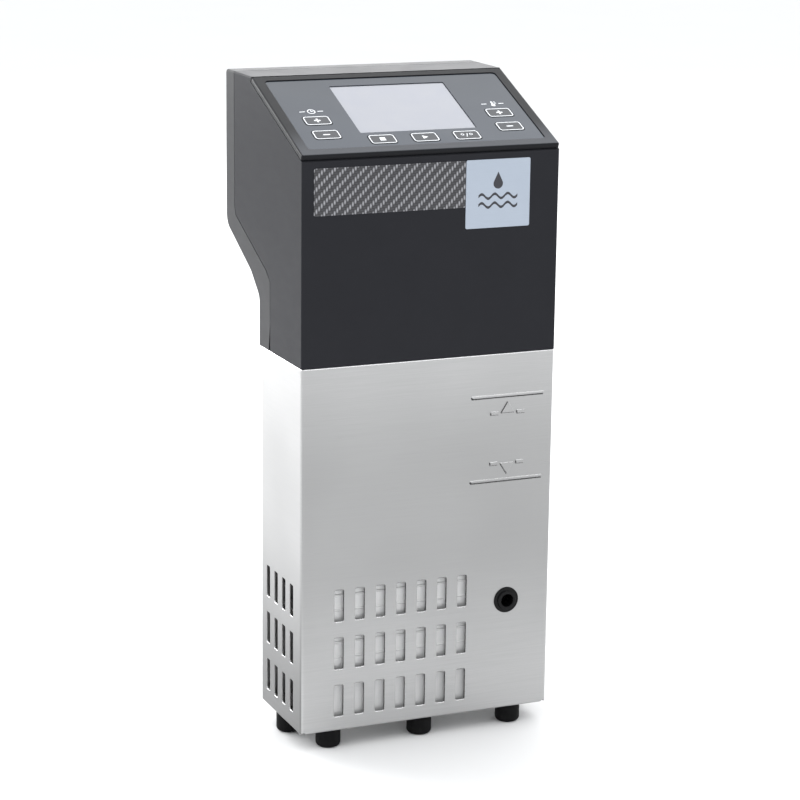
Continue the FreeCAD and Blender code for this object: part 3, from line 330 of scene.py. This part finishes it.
def rubber(name, colour=(0.006, 0.006, 0.0064), roughness=0.55):
    """Matt rubber with moulding grain and a little pale dust on what faces up."""
    look = Look(name)
    grains = look.noise(2.2, detail=5.0, roughness=0.7)
    patches = look.noise(0.3, detail=4.0)
    dust = look.maths("MULTIPLY", look.between(look.facing((0, 0, 1)), 0.2, 1.0, 0.01, 0.2), patches)
    colours = look.blend(patches, shaded(colour, 0.7), shaded(colour, 1.4))
    colours = look.blend(dust, colours, (0.2, 0.19, 0.18))
    normal, _ = look.edges(0.5)
    return look.surface(colours, look.between(grains, 0.3, 0.7, roughness - 0.08, roughness + 0.08),
                        normal=look.bump(grains, 0.02, normal), Specular_IOR_Level=0.05)


def circuit_board(name, mask_colour, plane):
    """Solder mask over copper tracks, with tinned pads about 2.5 mm apart. The plane is 1 on each of
    its two axes and 0 on the third."""
    look = Look(name)
    flat = look.stretched(*plane)
    tracks = look.cells(0.22, flat, feature="DISTANCE_TO_EDGE")
    track = look.between(tracks, 0.05, 0.08, 1.0, 0.0)
    pads = look.between(look.cells(0.394, flat), 0.1, 0.13, 1.0, 0.0)
    weave = look.noise(3.0, detail=3.0)
    mask = look.blend(look.maths("MULTIPLY", track, 0.6), mask_colour, shaded(mask_colour, 2.0))
    mask = look.blend(look.maths("MULTIPLY", weave, 0.15), mask, (0.2, 0.22, 0.12))
    colours = look.blend(pads, mask, (0.72, 0.7, 0.66))
    relief = look.bump(look.maths("MAXIMUM", track, pads), 0.03)
    return look.surface(colours, look.between(pads, 0.0, 1.0, 0.32, 0.22), pads, relief, Coat_Weight=0.3)


def overlay_ink(name):
    """Dark blue-grey ink under a glossy film, with a painted reflection that leaves it darker up the slope,
    and fine dust on it.
    """
    look = Look(name)
    cloud = look.noise(0.03, detail=2.0)
    dust = look.between(look.noise(6.0, detail=2.0), 0.66, 0.8, 0.0, 0.25)
    # painted reflection: paler at the foot of the slope, darker up it
    rise = look.between(look.along(UPHILL), *PANEL_REACH, smooth=True)
    colours = look.blend(rise, (0.03, 0.036, 0.048), (0.02, 0.024, 0.032))
    colours = look.blend(look.maths("MULTIPLY", cloud, 0.3), colours, (0.05, 0.06, 0.078))
    colours = look.blend(dust, colours, (0.12, 0.13, 0.15))
    ripple = look.bump(look.noise(0.03, detail=1.0), 0.25)
    return look.surface(colours, look.between(cloud, 0.3, 0.7, 0.14, 0.2), normal=ripple,
                        Specular_IOR_Level=0.28, Specular_Tint=(0.82, 0.9, 1.0))


TOW = 1.52                    # width of one tow of the printed weave, millimetres


def twill_film(name):
    """Printed 2-over-2 twill weave of grey tows, each rounded across its width and along its float."""
    look = Look(name)
    x, _, z = look.axes(look.stretched(1 / TOW, 1 / TOW, 1 / TOW))
    column, row = look.maths("FLOOR", x), look.maths("FLOOR", z)
    step = look.maths("FLOORED_MODULO", look.maths("SUBTRACT", column, row), 4.0)
    upright = look.maths("LESS_THAN", step, 1.5)
    in_x, in_z = look.maths("FRACT", x), look.maths("FRACT", z)
    across = look.choose(upright, in_x, in_z)
    along = look.choose(upright, look.maths("SUBTRACT", look.maths("ADD", in_z, 1.0), step),
                        look.maths("ADD", in_x, look.maths("SUBTRACT", step, 2.0)))
    crown = look.maths("SINE", look.maths("MULTIPLY", across, math.pi))
    swell = look.maths("SINE", look.maths("MULTIPLY", along, math.pi / 2))
    fibres = look.noise(5.0, look.stretched(1.0, 1.0, 0.2), detail=3.0)
    light = look.maths("MULTIPLY", look.maths("POWER", crown, 1.3), look.between(fibres, 0.3, 0.7, 0.8, 1.1))
    light = look.maths("MULTIPLY", light, look.between(swell, 0.0, 1.0, 0.15, 1.0))
    tows = look.blend(upright, (0.05, 0.05, 0.057), (0.34, 0.34, 0.365))
    colours = look.blend(light, (0.02, 0.02, 0.022), tows)
    return look.surface(colours, look.between(fibres, 0.3, 0.7, 0.34, 0.46), normal=look.bump(light, 0.06),
                        Specular_IOR_Level=0.4, Coat_Weight=0.2)


def pale_film(name, colour=(0.355, 0.405, 0.48)):
    """Satin silver-blue label stock with a faint horizontal brush print."""
    look = Look(name)
    brush = look.noise(2.5, look.stretched(0.03, 0.03, 1.0), detail=4.0)
    cloud = look.noise(0.04, detail=2.0)
    colours = look.blend(brush, shaded(colour, 0.94), shaded(colour, 1.06))
    colours = look.blend(look.maths("MULTIPLY", cloud, 0.2), colours, (0.5, 0.54, 0.6))
    return look.surface(colours, look.between(brush, 0.3, 0.7, 0.38, 0.5), 0.15, look.bump(brush, 0.003))


def key_face(name):
    """Glossy key cap in cloudy dark ink, paler at its edges."""
    look = Look(name)
    cloud = look.noise(0.5, detail=3.0)
    grains = look.noise(4.0, detail=3.0)
    colours = look.blend(cloud, (0.022, 0.025, 0.03), (0.045, 0.05, 0.058))
    normal, edge = look.edges(0.25)
    colours = look.blend(look.maths("MULTIPLY", edge, 0.5), colours, (0.16, 0.17, 0.19))
    return look.surface(colours, look.between(grains, 0.3, 0.7, 0.2, 0.28),
                        normal=look.bump(grains, 0.003, normal), Specular_IOR_Level=0.22)


def window_glass(name):
    """Clear window with faint smears. The polariser in it carries its gloss."""
    look = Look(name)
    smear = look.noise(0.06, detail=4.0, distortion=0.8)
    clear = look.node("ShaderNodeBsdfTransparent")
    look.feed(clear.inputs["Color"], look.blend(smear, (0.95, 0.96, 0.99), (0.99, 0.995, 1.0)))
    return look.finished(clear)


PIXELS = 1.6                  # pixels of the display in a millimetre


def liquid_crystal(name):
    """Unlit display: pale lavender polariser with a fine pixel grid."""
    look = Look(name)
    columns = look.maths("FRACT", look.maths("MULTIPLY", look.axes()["X"], PIXELS))
    rows = look.maths("FRACT", look.maths("MULTIPLY", look.along(UPHILL), PIXELS))
    grid = look.maths("MAXIMUM", look.between(columns, 0.88, 0.94), look.between(rows, 0.88, 0.94))
    cloud = look.noise(0.025, detail=2.0)
    colours = look.blend(cloud, (0.272, 0.276, 0.298), (0.3, 0.303, 0.323))
    colours = look.blend(look.maths("MULTIPLY", grid, 0.03), colours, (0.21, 0.215, 0.25))
    return look.surface(colours, look.between(cloud, 0.3, 0.7, 0.1, 0.16), Specular_IOR_Level=0.5)


def silver_print(name, colour=(0.78, 0.8, 0.83)):
    """Screen-printed silver ink: metallic flakes and an uneven gloss."""
    look = Look(name)
    flakes = look.noise(9.0, detail=2.0)
    wear_and_highlight = look.noise(1.2, detail=3.0)
    colours = look.blend(flakes, shaded(colour, 0.85), shaded(colour, 1.15))
    return look.surface(colours, look.between(wear_and_highlight, 0.3, 0.7, 0.35, 0.5), 0.25, look.bump(flakes, 0.004))


def dark_print(name):
    """Matt dark ink with a little mottle."""
    look = Look(name)
    flakes = look.noise(6.0, detail=3.0)
    colours = look.blend(flakes, (0.018, 0.018, 0.024), (0.034, 0.034, 0.042))
    return look.surface(colours, look.between(flakes, 0.3, 0.7, 0.45, 0.6), normal=look.bump(flakes, 0.004))


def laminated_core(name):
    """Varnished steel laminations round a coil wrapped in yellow tape."""
    look = Look(name)
    _, y, z = look.axes()
    low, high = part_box("transformer")
    bare = (high.z - low.z) / 5 / MM
    taped = look.maths("MULTIPLY", look.maths("GREATER_THAN", z, low.z / MM + bare),
                       look.maths("LESS_THAN", z, high.z / MM - bare))
    sheets = look.between(look.maths("FRACT", look.maths("MULTIPLY", y, 2.0)), 0.75, 0.95)
    varnish = look.noise(0.3, detail=4.0)
    plain = (0.11, 0.1, 0.095)
    steel = look.blend(varnish, look.blend(sheets, plain, (0.03, 0.028, 0.026)), shaded(plain, 1.5))
    turns = look.between(look.maths("FRACT", look.maths("MULTIPLY", z, 0.25)), 0.85, 0.95)
    tape = look.blend(turns, (0.72, 0.5, 0.06), (0.45, 0.29, 0.03))
    return look.surface(look.blend(taped, steel, tape), look.between(varnish, 0.3, 0.7, 0.3, 0.5),
                        normal=look.bump(sheets, 0.03))


def capacitor_wrap(name):
    """Shrink sleeve on the sides and bare scored aluminium on the end that faces forwards."""
    look = Look(name)
    ends = look.between(look.facing((0, -1, 0)), 0.9, 0.97)
    wrinkles = look.noise(1.2, look.stretched(1.0, 0.1, 1.0), detail=3.0)
    metal = look.blend(wrinkles, (0.6, 0.6, 0.62), (0.75, 0.75, 0.77))
    sleeve = look.blend(wrinkles, (0.012, 0.016, 0.045), (0.02, 0.026, 0.07))
    return look.surface(look.blend(ends, sleeve, metal), look.between(wrinkles, 0.3, 0.7, 0.22, 0.38),
                        ends, look.bump(wrinkles, 0.03))


# ---------------------------------------------------------------- the record's finishes
STAINLESS = (0.485, 0.485, 0.485)
ZINC = (0.42, 0.43, 0.45)
BRASS = (0.62, 0.46, 0.2)
ALUMINIUM = (0.68, 0.68, 0.69)
BLACK = (0.012, 0.012, 0.013)

LOOKS = {
    "brushed_steel": lambda n: sheet_metal(n, STAINLESS, 0.32, contrast=0.09, housing=True),
    "back_steel": lambda n: sheet_metal(n, shaded(STAINLESS, 0.8), 0.34, grain=(1.0, 0.012, 0.012)),
    "base_steel": lambda n: sheet_metal(n, shaded(STAINLESS, 0.9), 0.4, grain=(0.012, 1.0, 0.012)),
    # painted light: the baffle is a brighter copy of the steel, so it stays pale in the shade behind the
    # slots
    "baffle_sheet": lambda n: sheet_metal(n, shaded(STAINLESS, 1.7), 0.55, contrast=0.03, metallic=0.5),
    "strap_steel": lambda n: sheet_metal(n, shaded(STAINLESS, 0.95), 0.36),
    "deck_steel": lambda n: sheet_metal(n, shaded(STAINLESS, 0.92), 0.36, grain=(0.012, 1.0, 0.012)),
    "bracket_steel": lambda n: sheet_metal(n, shaded(STAINLESS, 0.75), 0.34, grain=(1.0, 0.012, 0.012)),
    "bracket_alloy": lambda n: sheet_metal(n, ALUMINIUM, 0.4, grain=(1.0, 0.012, 0.012)),
    "sink_alloy": lambda n: sheet_metal(n, shaded(ALUMINIUM, 0.9), 0.42, grain=(1.0, 0.05, 0.012)),
    "zinc_screw": lambda n: turned_metal(n, ZINC, 0.28),
    "display_screw": lambda n: turned_metal(n, ZINC, 0.3),
    "heater_tube": lambda n: turned_metal(n, (0.5, 0.48, 0.45), 0.36, grain=(1.0, 1.0, 0.15)),
    "brass_fitting": lambda n: turned_metal(n, BRASS, 0.26, grain=(0.2, 0.2, 3.0)),
    "probe_steel": lambda n: turned_metal(n, STAINLESS, 0.22, grain=(0.2, 0.2, 2.0)),
    "stem_steel": lambda n: turned_metal(n, STAINLESS, 0.24, grain=(0.2, 0.2, 2.0)),
    "rod_steel": lambda n: turned_metal(n, STAINLESS, 0.26, grain=(0.2, 0.2, 2.0)),
    "shaft_steel": lambda n: turned_metal(n, (0.58, 0.58, 0.59), 0.18, grain=(0.2, 0.2, 4.0)),
    "coupling_alloy": lambda n: turned_metal(n, ALUMINIUM, 0.3, grain=(0.2, 0.2, 3.0)),
    "motor_metal": lambda n: turned_metal(n, (0.42, 0.43, 0.44), 0.38, grain=(1.0, 1.0, 0.1)),
    "lcd_metal": lambda n: turned_metal(n, (0.5, 0.5, 0.51), 0.4),
    "standoff_brass": lambda n: turned_metal(n, BRASS, 0.28, grain=(0.2, 3.0, 0.2)),
    "nut_steel": lambda n: turned_metal(n, ZINC, 0.3, grain=(0.3, 3.0, 0.3)),
    "screw_steel": lambda n: turned_metal(n, (0.56, 0.56, 0.57), 0.24, grain=(0.2, 4.0, 0.2)),
    "head_plastic": lambda n: moulded(n, (0.0205, 0.021, 0.0245), 0.42, specular=0.05),
    # painted light: the rear cover is a lighter copy of the head's plastic, for the light on its angled sides
    "cover_plastic": lambda n: moulded(n, (0.028, 0.0285, 0.031), 0.44, specular=0.1),
    # the bezel fades to a paler painted reflection at the foot of the slope
    "bezel_plastic": lambda n: moulded(n, (0.01, 0.0106, 0.0125), 0.36, relief=0.006, specular=0.11,
                                       foot_reflection_colour=(0.064, 0.068, 0.077)),
    "foot_rubber": rubber,
    "gasket_rubber": lambda n: rubber(n, (0.03, 0.03, 0.032)),
    "gland_rubber": lambda n: rubber(n, (0.02, 0.02, 0.021), 0.7),
    "pad_rubber": lambda n: rubber(n, (0.015, 0.015, 0.016), 0.65),
    "float_plastic": lambda n: moulded(n, (0.72, 0.7, 0.65), 0.4, specular=0.5, wear_and_highlight=0.1),
    "pump_plastic": lambda n: moulded(n, (0.025, 0.025, 0.027), 0.4, specular=0.45),
    "pump_cover_plastic": lambda n: moulded(n, (0.03, 0.03, 0.032), 0.42, specular=0.45),
    "impeller_plastic": lambda n: moulded(n, (0.62, 0.61, 0.57), 0.38, specular=0.5, wear_and_highlight=0.1),
    "nozzle_plastic": lambda n: moulded(n, (0.003, 0.003, 0.0034), 0.14, relief=0.003, specular=0.16,
                                        wear_and_highlight=0.1),
    "bush_plastic": lambda n: moulded(n, (0.5, 0.47, 0.38), 0.36, specular=0.5, wear_and_highlight=0.1),
    "switch_plastic": lambda n: moulded(n, (0.02, 0.02, 0.021), 0.4, specular=0.45),
    "relay_plastic": lambda n: moulded(n, (0.02, 0.08, 0.22), 0.34, specular=0.5),
    "terminal_plastic": lambda n: moulded(n, (0.05, 0.2, 0.09), 0.38, specular=0.5),
    "fan_plastic": lambda n: moulded(n, BLACK, 0.42, specular=0.4),
    "rotor_plastic": lambda n: moulded(n, (0.016, 0.016, 0.017), 0.36, specular=0.45),
    "gland_plastic": lambda n: moulded(n, BLACK, 0.34, specular=0.45),
    "gland_nut_plastic": lambda n: moulded(n, BLACK, 0.32, specular=0.45),
    "locknut_plastic": lambda n: moulded(n, BLACK, 0.36, specular=0.45),
    "knob_plastic": lambda n: moulded(n, (0.014, 0.014, 0.015), 0.4, specular=0.4, wear_and_highlight=0.5),
    "display_pcb": lambda n: circuit_board(n, (0.01, 0.09, 0.035), (1.0, 1.0, 0.0)),
    "power_pcb": lambda n: circuit_board(n, (0.02, 0.1, 0.03), (1.0, 0.0, 1.0)),
    "overlay_plastic": overlay_ink,
    "display_glass": window_glass,
    "transformer_core": laminated_core,
    "capacitor_sleeve": capacitor_wrap,
    "carbon_film": twill_film,
    "pale_film": pale_film,
    "key_plastic": key_face,
}


def dress_cad_nodes():
    """Every CAD node gets the look of its record slot; nodes that share a slot share the look."""
    made = {}
    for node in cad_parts.values():
        name = node.material_slots[0].material.name
        if name not in made:
            made[name] = LOOKS[name](name + "_look")
        node.material_slots[0].material = made[name]


# ---------------------------------------------------------------- flat print and trim
PRINT_SINK = 0.01 * MM        # how far a print is keyed into the surface under it
PRINT_RISE = 0.03 * MM        # and how far it stands above it


def arc(cx, cy, radius, start, end, steps=10):
    """Points along an arc, angles in degrees."""
    angles = [math.radians(start + (end - start) * i / steps) for i in range(steps + 1)]
    return [(cx + radius * math.cos(a), cy + radius * math.sin(a)) for a in angles]


def circle(cx, cy, radius, points):
    """Points round a full circle, the first of them not repeated."""
    return arc(cx, cy, radius, 0, 360 - 360 / points, points - 1)


def rounded_rectangle(cx, cy, width, height, radius):
    x, y = width / 2 - radius, height / 2 - radius
    corners = ((x, y, 0), (-x, y, 90), (-x, -y, 180), (x, -y, 270))
    return [point for dx, dy, turn in corners for point in arc(cx + dx, cy + dy, radius, turn, turn + 90)]


def stroke(x0, y0, x1, y1, width):
    """Outline of a straight line with round ends."""
    heading = math.degrees(math.atan2(y1 - y0, x1 - x0))
    return (arc(x1, y1, width / 2, heading - 90, heading + 90)
            + arc(x0, y0, width / 2, heading + 90, heading + 270))


def wave(cx, cy, length, rise, width, crests, steps=48):
    """Outline of a wavy line."""
    xs = [cx - length / 2 + length * i / steps for i in range(steps + 1)]
    ys = [cy + rise * math.sin(2 * math.pi * crests * i / steps) for i in range(steps + 1)]
    lower = [(x, y - width / 2) for x, y in zip(xs, ys)]
    upper = [(x, y + width / 2) for x, y in zip(xs, ys)]
    return lower + upper[::-1]


def add_plate(mesh, outline, low, high):
    """Closed plate over an outline, given anticlockwise in millimetres."""
    bottom = [mesh.verts.new((x * MM, y * MM, low)) for x, y in outline]
    top = [mesh.verts.new((x * MM, y * MM, high)) for x, y in outline]
    mesh.faces.new(top)
    mesh.faces.new(bottom[::-1])
    for i, (a, b) in enumerate(zip(bottom, bottom[1:] + bottom[:1])):
        mesh.faces.new((a, b, top[(i + 1) % len(top)], top[i]))


def add_ring(mesh, outer, inner, low, high):
    """Closed ring between two outlines with the same number of points."""
    count = len(outer)
    loops = [[mesh.verts.new((x * MM, y * MM, z)) for x, y in outline]
             for outline, z in ((outer, low), (outer, high), (inner, high), (inner, low))]
    for first, second in zip(loops, loops[1:] + loops[:1]):
        for i in range(count):
            j = (i + 1) % count
            mesh.faces.new((first[i], first[j], second[j], second[i]))


def mesh_object(name, mesh, material):
    """Turn a bmesh into an object of the scene."""
    data = bpy.data.meshes.new(name)
    mesh.to_mesh(data)
    mesh.free()
    data.materials.append(material)
    made = bpy.data.objects.new(name, data)
    bpy.context.scene.collection.objects.link(made)
    return made


def piece(name, mesh, axes, body, material):
    """Turn a bmesh built in local axes into a piece in the frame that rides on a body."""
    bmesh.ops.remove_doubles(mesh, verts=mesh.verts, dist=0.001 * MM)
    bmesh.ops.recalc_face_normals(mesh, faces=mesh.faces)
    mesh.transform(axes)
    made = mesh_object(name, mesh, material)
    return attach(made, body)


def plus_sign(cx, cy):
    arm, half = 1.9, 0.5
    corners = ((half, arm), (arm, half), (arm, -half), (half, -arm), (-half, -arm), (-arm, -half),
               (-arm, half), (-half, arm))
    inner = ((half, half), (half, -half), (-half, -half), (-half, half))
    outline = []
    for i in range(4):
        outline += [corners[2 * i], inner[i], corners[2 * i + 1]]
    return [[(cx + x, cy + y) for x, y in reversed(outline)]]


def minus_sign(cx, cy):
    return [stroke(cx - 1.6, cy, cx + 1.6, cy, 0.95)]


def stop_sign(cx, cy):
    return [rounded_rectangle(cx, cy, 3.2, 3.2, 0.15)]


def start_sign(cx, cy):
    return [[(cx - 1.4, cy - 1.7), (cx + 1.9, cy), (cx - 1.4, cy + 1.7)]]


def slash_sign(cx, cy):
    return [stroke(cx - 0.6, cy - 1.6, cx + 0.6, cy + 1.6, 0.45)]


SIGNS = {"key_time_up": plus_sign, "key_time_down": minus_sign, "key_temp_up": plus_sign,
         "key_temp_down": minus_sign, "key_stop": stop_sign, "key_start": start_sign, "key_units": slash_sign}
KEY_FLANGE = 0.9              # how far a key's flange reaches past its cap, millimetres
KEY_BORDER = 0.55             # width of the silver line round a key
KEY_MARGIN = 0.3              # from the cap's edge to that line
KEY_CORNER = 1.8              # radius of that line's outer corners
RING_OUTER, RING_INNER = 1.0, 0.6    # radii of the two rings beside the slash
RING_ASIDE, RING_ABOVE = 2.6, 0.7    # from the key's middle to a ring's middle


def key_faces():
    """(centre x, centre y, width, height, height of the face) of every key cap, in panel millimetres."""
    faces = {}
    for node in SIGNS:
        lo, hi = panel_box(node)
        faces[node] = ((lo.x + hi.x) / 2 / MM, (lo.y + hi.y) / 2 / MM,
                       (hi.x - lo.x) / MM - 2 * KEY_FLANGE, (hi.y - lo.y) / MM - 2 * KEY_FLANGE, hi.z)
    return faces


def key_print(ink):
    """Silver border and sign on every key; they travel with the key."""
    for node, (cx, cy, width, height, top) in key_faces().items():
        low, high = top - PRINT_SINK, top + PRINT_RISE
        mesh = bmesh.new()
        w, h = width - 2 * KEY_MARGIN, height - 2 * KEY_MARGIN
        add_ring(mesh, rounded_rectangle(cx, cy, w, h, KEY_CORNER),
                 rounded_rectangle(cx, cy, w - 2 * KEY_BORDER, h - 2 * KEY_BORDER, KEY_CORNER - KEY_BORDER),
                 low, high)
        for outline in SIGNS[node](cx, cy):
            add_plate(mesh, outline, low, high)
        if node == "key_units":
            for x in (cx - RING_ASIDE, cx + RING_ASIDE):
                outer, inner = (circle(x, cy + RING_ABOVE, radius, 20) for radius in (RING_OUTER, RING_INNER))
                add_ring(mesh, outer, inner, low, high)
        piece(node + "_print", mesh, PANEL, node, ink)


ICON_RISE = 10.3              # from the middle of a key to the middle of the icon over it
BAR_INNER, BAR_OUTER, BAR_WIDTH = 4.0, 6.8, 0.6    # the bars on both sides of an icon
CLOCK_OUTER, CLOCK_INNER = 2.4, 1.85    # radii of the clock's ring
CLOCK_HANDS = ((-0.25, -0.25), (1.2, -0.25), (1.2, 0.22), (0.25, 0.22), (0.25, 1.5), (-0.25, 1.5))
BULB_RADIUS, BULB_BELOW = 1.25, 1.5     # the thermometer's bulb, below the icon's middle
TUBE_RADIUS, TUBE_ABOVE = 0.53, 2.1     # and the round end of its tube, above the middle
TICK_INNER, TICK_OUTER, TICK_WIDTH = 1.4, 2.2, 0.4
TICK_HEIGHTS = (0.2, 1.1, 2.0)


def add_clock(mesh, cx, cy, low, high):
    add_ring(mesh, circle(cx, cy, CLOCK_OUTER, 36), circle(cx, cy, CLOCK_INNER, 36), low, high)
    add_plate(mesh, [(cx + x, cy + y) for x, y in CLOCK_HANDS], low, high)


def add_thermometer(mesh, cx, cy, low, high):
    bulb = arc(cx, cy - BULB_BELOW, BULB_RADIUS, 115, 425, 30)
    add_plate(mesh, bulb + arc(cx, cy + TUBE_ABOVE, TUBE_RADIUS, 0, 180), low, high)
    for height in TICK_HEIGHTS:
        add_plate(mesh, stroke(cx + TICK_INNER, cy + height, cx + TICK_OUTER, cy + height, TICK_WIDTH),
                  low, high)


def panel_icons(ink):
    """Clock over the time keys and thermometer over the temperature keys, between short bars."""
    faces = key_faces()
    low, high = FILM_HI.z - PRINT_SINK, FILM_HI.z + PRINT_RISE
    for name, key, add_icon in (("clock_icon", "key_time_up", add_clock),
                                ("thermometer_icon", "key_temp_up", add_thermometer)):
        cx, cy = faces[key][0], faces[key][1] + ICON_RISE
        mesh = bmesh.new()
        for side in (-1, 1):
            bar = stroke(cx + side * BAR_INNER, cy, cx + side * BAR_OUTER, cy, BAR_WIDTH)
            add_plate(mesh, bar, low, high)
        add_icon(mesh, cx, cy, low, high)
        piece(name, mesh, PANEL, "housing", ink)


WINDOW_LIP = 0.7              # how far the window reaches under the film, millimetres
POLARISER_GAP = 0.1           # between the polariser and the film's opening, all round
POLARISER_DEPTH = 0.05        # its thickness, and how far it lies under the film's lower face
POLARISER_CORNER = 0.9        # radius of its corners


def display_panel():
    """Polariser laid into the window, just lower than the film."""
    lo, hi = panel_box("lcd_window")
    inset = 2 * (WINDOW_LIP + POLARISER_GAP)
    width, height = (hi.x - lo.x) / MM - inset, (hi.y - lo.y) / MM - inset
    cx, cy = (hi.x + lo.x) / 2 / MM, (hi.y + lo.y) / 2 / MM
    top = FILM_LO.z - POLARISER_DEPTH * MM
    mesh = bmesh.new()
    outline = rounded_rectangle(cx, cy, width, height, POLARISER_CORNER)
    add_plate(mesh, outline, top - POLARISER_DEPTH * MM, top)
    piece("display_polariser", mesh, PANEL, "housing", liquid_crystal("polariser_look"))


WAVE_HEIGHTS = (-1.5, -6.5)   # from the label's middle, millimetres
DROP_HEIGHT, DROP_RADIUS = 5.5, 2.9     # the drop's round end
DROP_TIP = 12.2               # height of its point


def label_mark(ink):
    """Generic water mark on the pale label: a drop over two waves."""
    low, high = -PRINT_SINK, PRINT_RISE
    mesh = bmesh.new()
    for height in WAVE_HEIGHTS:
        add_plate(mesh, wave(0, height, length=24, rise=1.3, width=1.5, crests=3), low, high)
    add_plate(mesh, arc(0, DROP_HEIGHT, DROP_RADIUS, 150, 390, 30) + [(0, DROP_TIP)], low, high)
    piece("water_mark", mesh, front_axes("pale_label"), "housing", ink)


# ---------------------------------------------------------------- studio
FLOOR_HALF = 9.0              # half the side of the floor, metres


def studio_floor():
    """Large pale floor."""
    look = Look("floor_look")
    grain = look.noise(0.004, detail=2.0)
    colours = look.blend(grain, (0.79, 0.79, 0.79), (0.81, 0.81, 0.81))
    look.surface(colours, 0.75, Specular_IOR_Level=0.2)
    mesh = bmesh.new()
    mesh.faces.new([mesh.verts.new((x * FLOOR_HALF, y * FLOOR_HALF, CAD_LO.z))
                    for x, y in ((-1, -1), (1, -1), (1, 1), (-1, 1))])
    floor = mesh_object("studio_floor", mesh, look.material)


CEILING = (0.3, 0.9)          # upward shares of a direction between which the walls become the ceiling


def sky(front, back, top):
    """Studio walls: a soft gradient from the front wall to the brighter back wall, and up to the
    ceiling."""
    world = bpy.data.worlds.new("studio_walls")
    bpy.context.scene.world = world
    world.use_nodes = True
    nodes, links = world.node_tree.nodes, world.node_tree.links
    direction = nodes.new("ShaderNodeTexCoord").outputs["Generated"]
    parts = nodes.new("ShaderNodeSeparateXYZ")
    links.new(direction, parts.inputs[0])
    level = nodes.new("ShaderNodeMapRange")
    for index, value in ((1, -1.0), (2, 1.0), (3, front), (4, back)):
        level.inputs[index].default_value = value
    links.new(parts.outputs["Y"], level.inputs[0])
    height = nodes.new("ShaderNodeMapRange")
    for index, value in ((1, CEILING[0]), (2, CEILING[1]), (3, 0.0), (4, 1.0)):
        height.inputs[index].default_value = value
    links.new(parts.outputs["Z"], height.inputs[0])
    strength = nodes.new("ShaderNodeMix")
    links.new(height.outputs[0], strength.inputs[0])
    links.new(level.outputs[0], strength.inputs[2])
    strength.inputs[3].default_value = top
    background = nodes["Background"]
    background.inputs["Color"].default_value = (0.97, 0.985, 1.0, 1.0)
    links.new(strength.outputs[0], background.inputs["Strength"])


def softbox(name, position, target, size, radiance):
    """Rectangular area light that faces a point; its power gives the radiance asked for."""
    light = bpy.data.lights.new(name, "AREA")
    light.shape = "RECTANGLE"
    light.size, light.size_y = size
    light.energy = radiance * math.pi * size[0] * size[1]
    lamp = bpy.data.objects.new(name, light)
    lamp.location = position
    lamp.rotation_mode = "QUATERNION"
    lamp.rotation_quaternion = (Vector(target) - Vector(position)).to_track_quat("-Z", "Y")
    bpy.context.scene.collection.objects.link(lamp)


def studio():
    studio_floor()
    sky(front=1.1, back=2.0, top=1.0)
    middle = (CAD_LO + CAD_HI) / 2
    softbox("overhead_softbox", (0.25, 0.65, 1.8), middle, (2.2, 1.4), 1.8)
    softbox("front_softbox", (0.1, -1.1, 1.9), middle, (2.4, 1.2), 1.2)
    softbox("left_softbox", (-0.75, 1.15, 0.6), (-0.3, 0.4, 0.0), (0.9, 0.8), 6.9)
    softbox("right_softbox", (0.85, 1.9, 0.85), middle, (1.2, 0.8), 2.4)
    bpy.context.scene.view_settings.view_transform = "Standard"


CAMERA_AZIMUTH, CAMERA_ELEVATION, CAMERA_ROLL = -23.13, 13.81, 0.684    # degrees
CAMERA_DISTANCE = 1.4565      # metres
CAMERA_LENS = 116.9           # millimetres, for a 36 mm sensor
CAMERA_ASIDE = -0.0184        # from the middle of the front to the point looked at, metres
CAMERA_HEIGHT = 0.2035        # height of that point above the floor


def camera():
    """Long lens from the front left, a little above the object."""
    azimuth, elevation, roll = (math.radians(a) for a in (CAMERA_AZIMUTH, CAMERA_ELEVATION, CAMERA_ROLL))
    target = Vector((CAMERA_ASIDE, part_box("front_housing")[0].y, CAMERA_HEIGHT))
    back = Vector((math.sin(azimuth) * math.cos(elevation), -math.cos(azimuth) * math.cos(elevation),
                   math.sin(elevation)))
    right = Vector((0, 0, 1)).cross(back).normalized()
    up = back.cross(right)
    tilted_right = math.cos(roll) * right + math.sin(roll) * up
    tilted_up = math.cos(roll) * up - math.sin(roll) * right
    data = bpy.data.cameras.new("camera")
    data.lens = CAMERA_LENS
    data.clip_start, data.clip_end = 0.05, 50.0
    made = bpy.data.objects.new("camera", data)
    made.matrix_world = (Matrix.Translation(target + back * CAMERA_DISTANCE)
                         @ Matrix((tilted_right, tilted_up, back)).transposed().to_4x4())
    bpy.context.scene.collection.objects.link(made)
    bpy.context.scene.camera = made


camera()
studio()
dress_cad_nodes()
silver = silver_print("silver_ink_look")
key_print(silver)
panel_icons(silver)
display_panel()
label_mark(dark_print("dark_ink_look"))
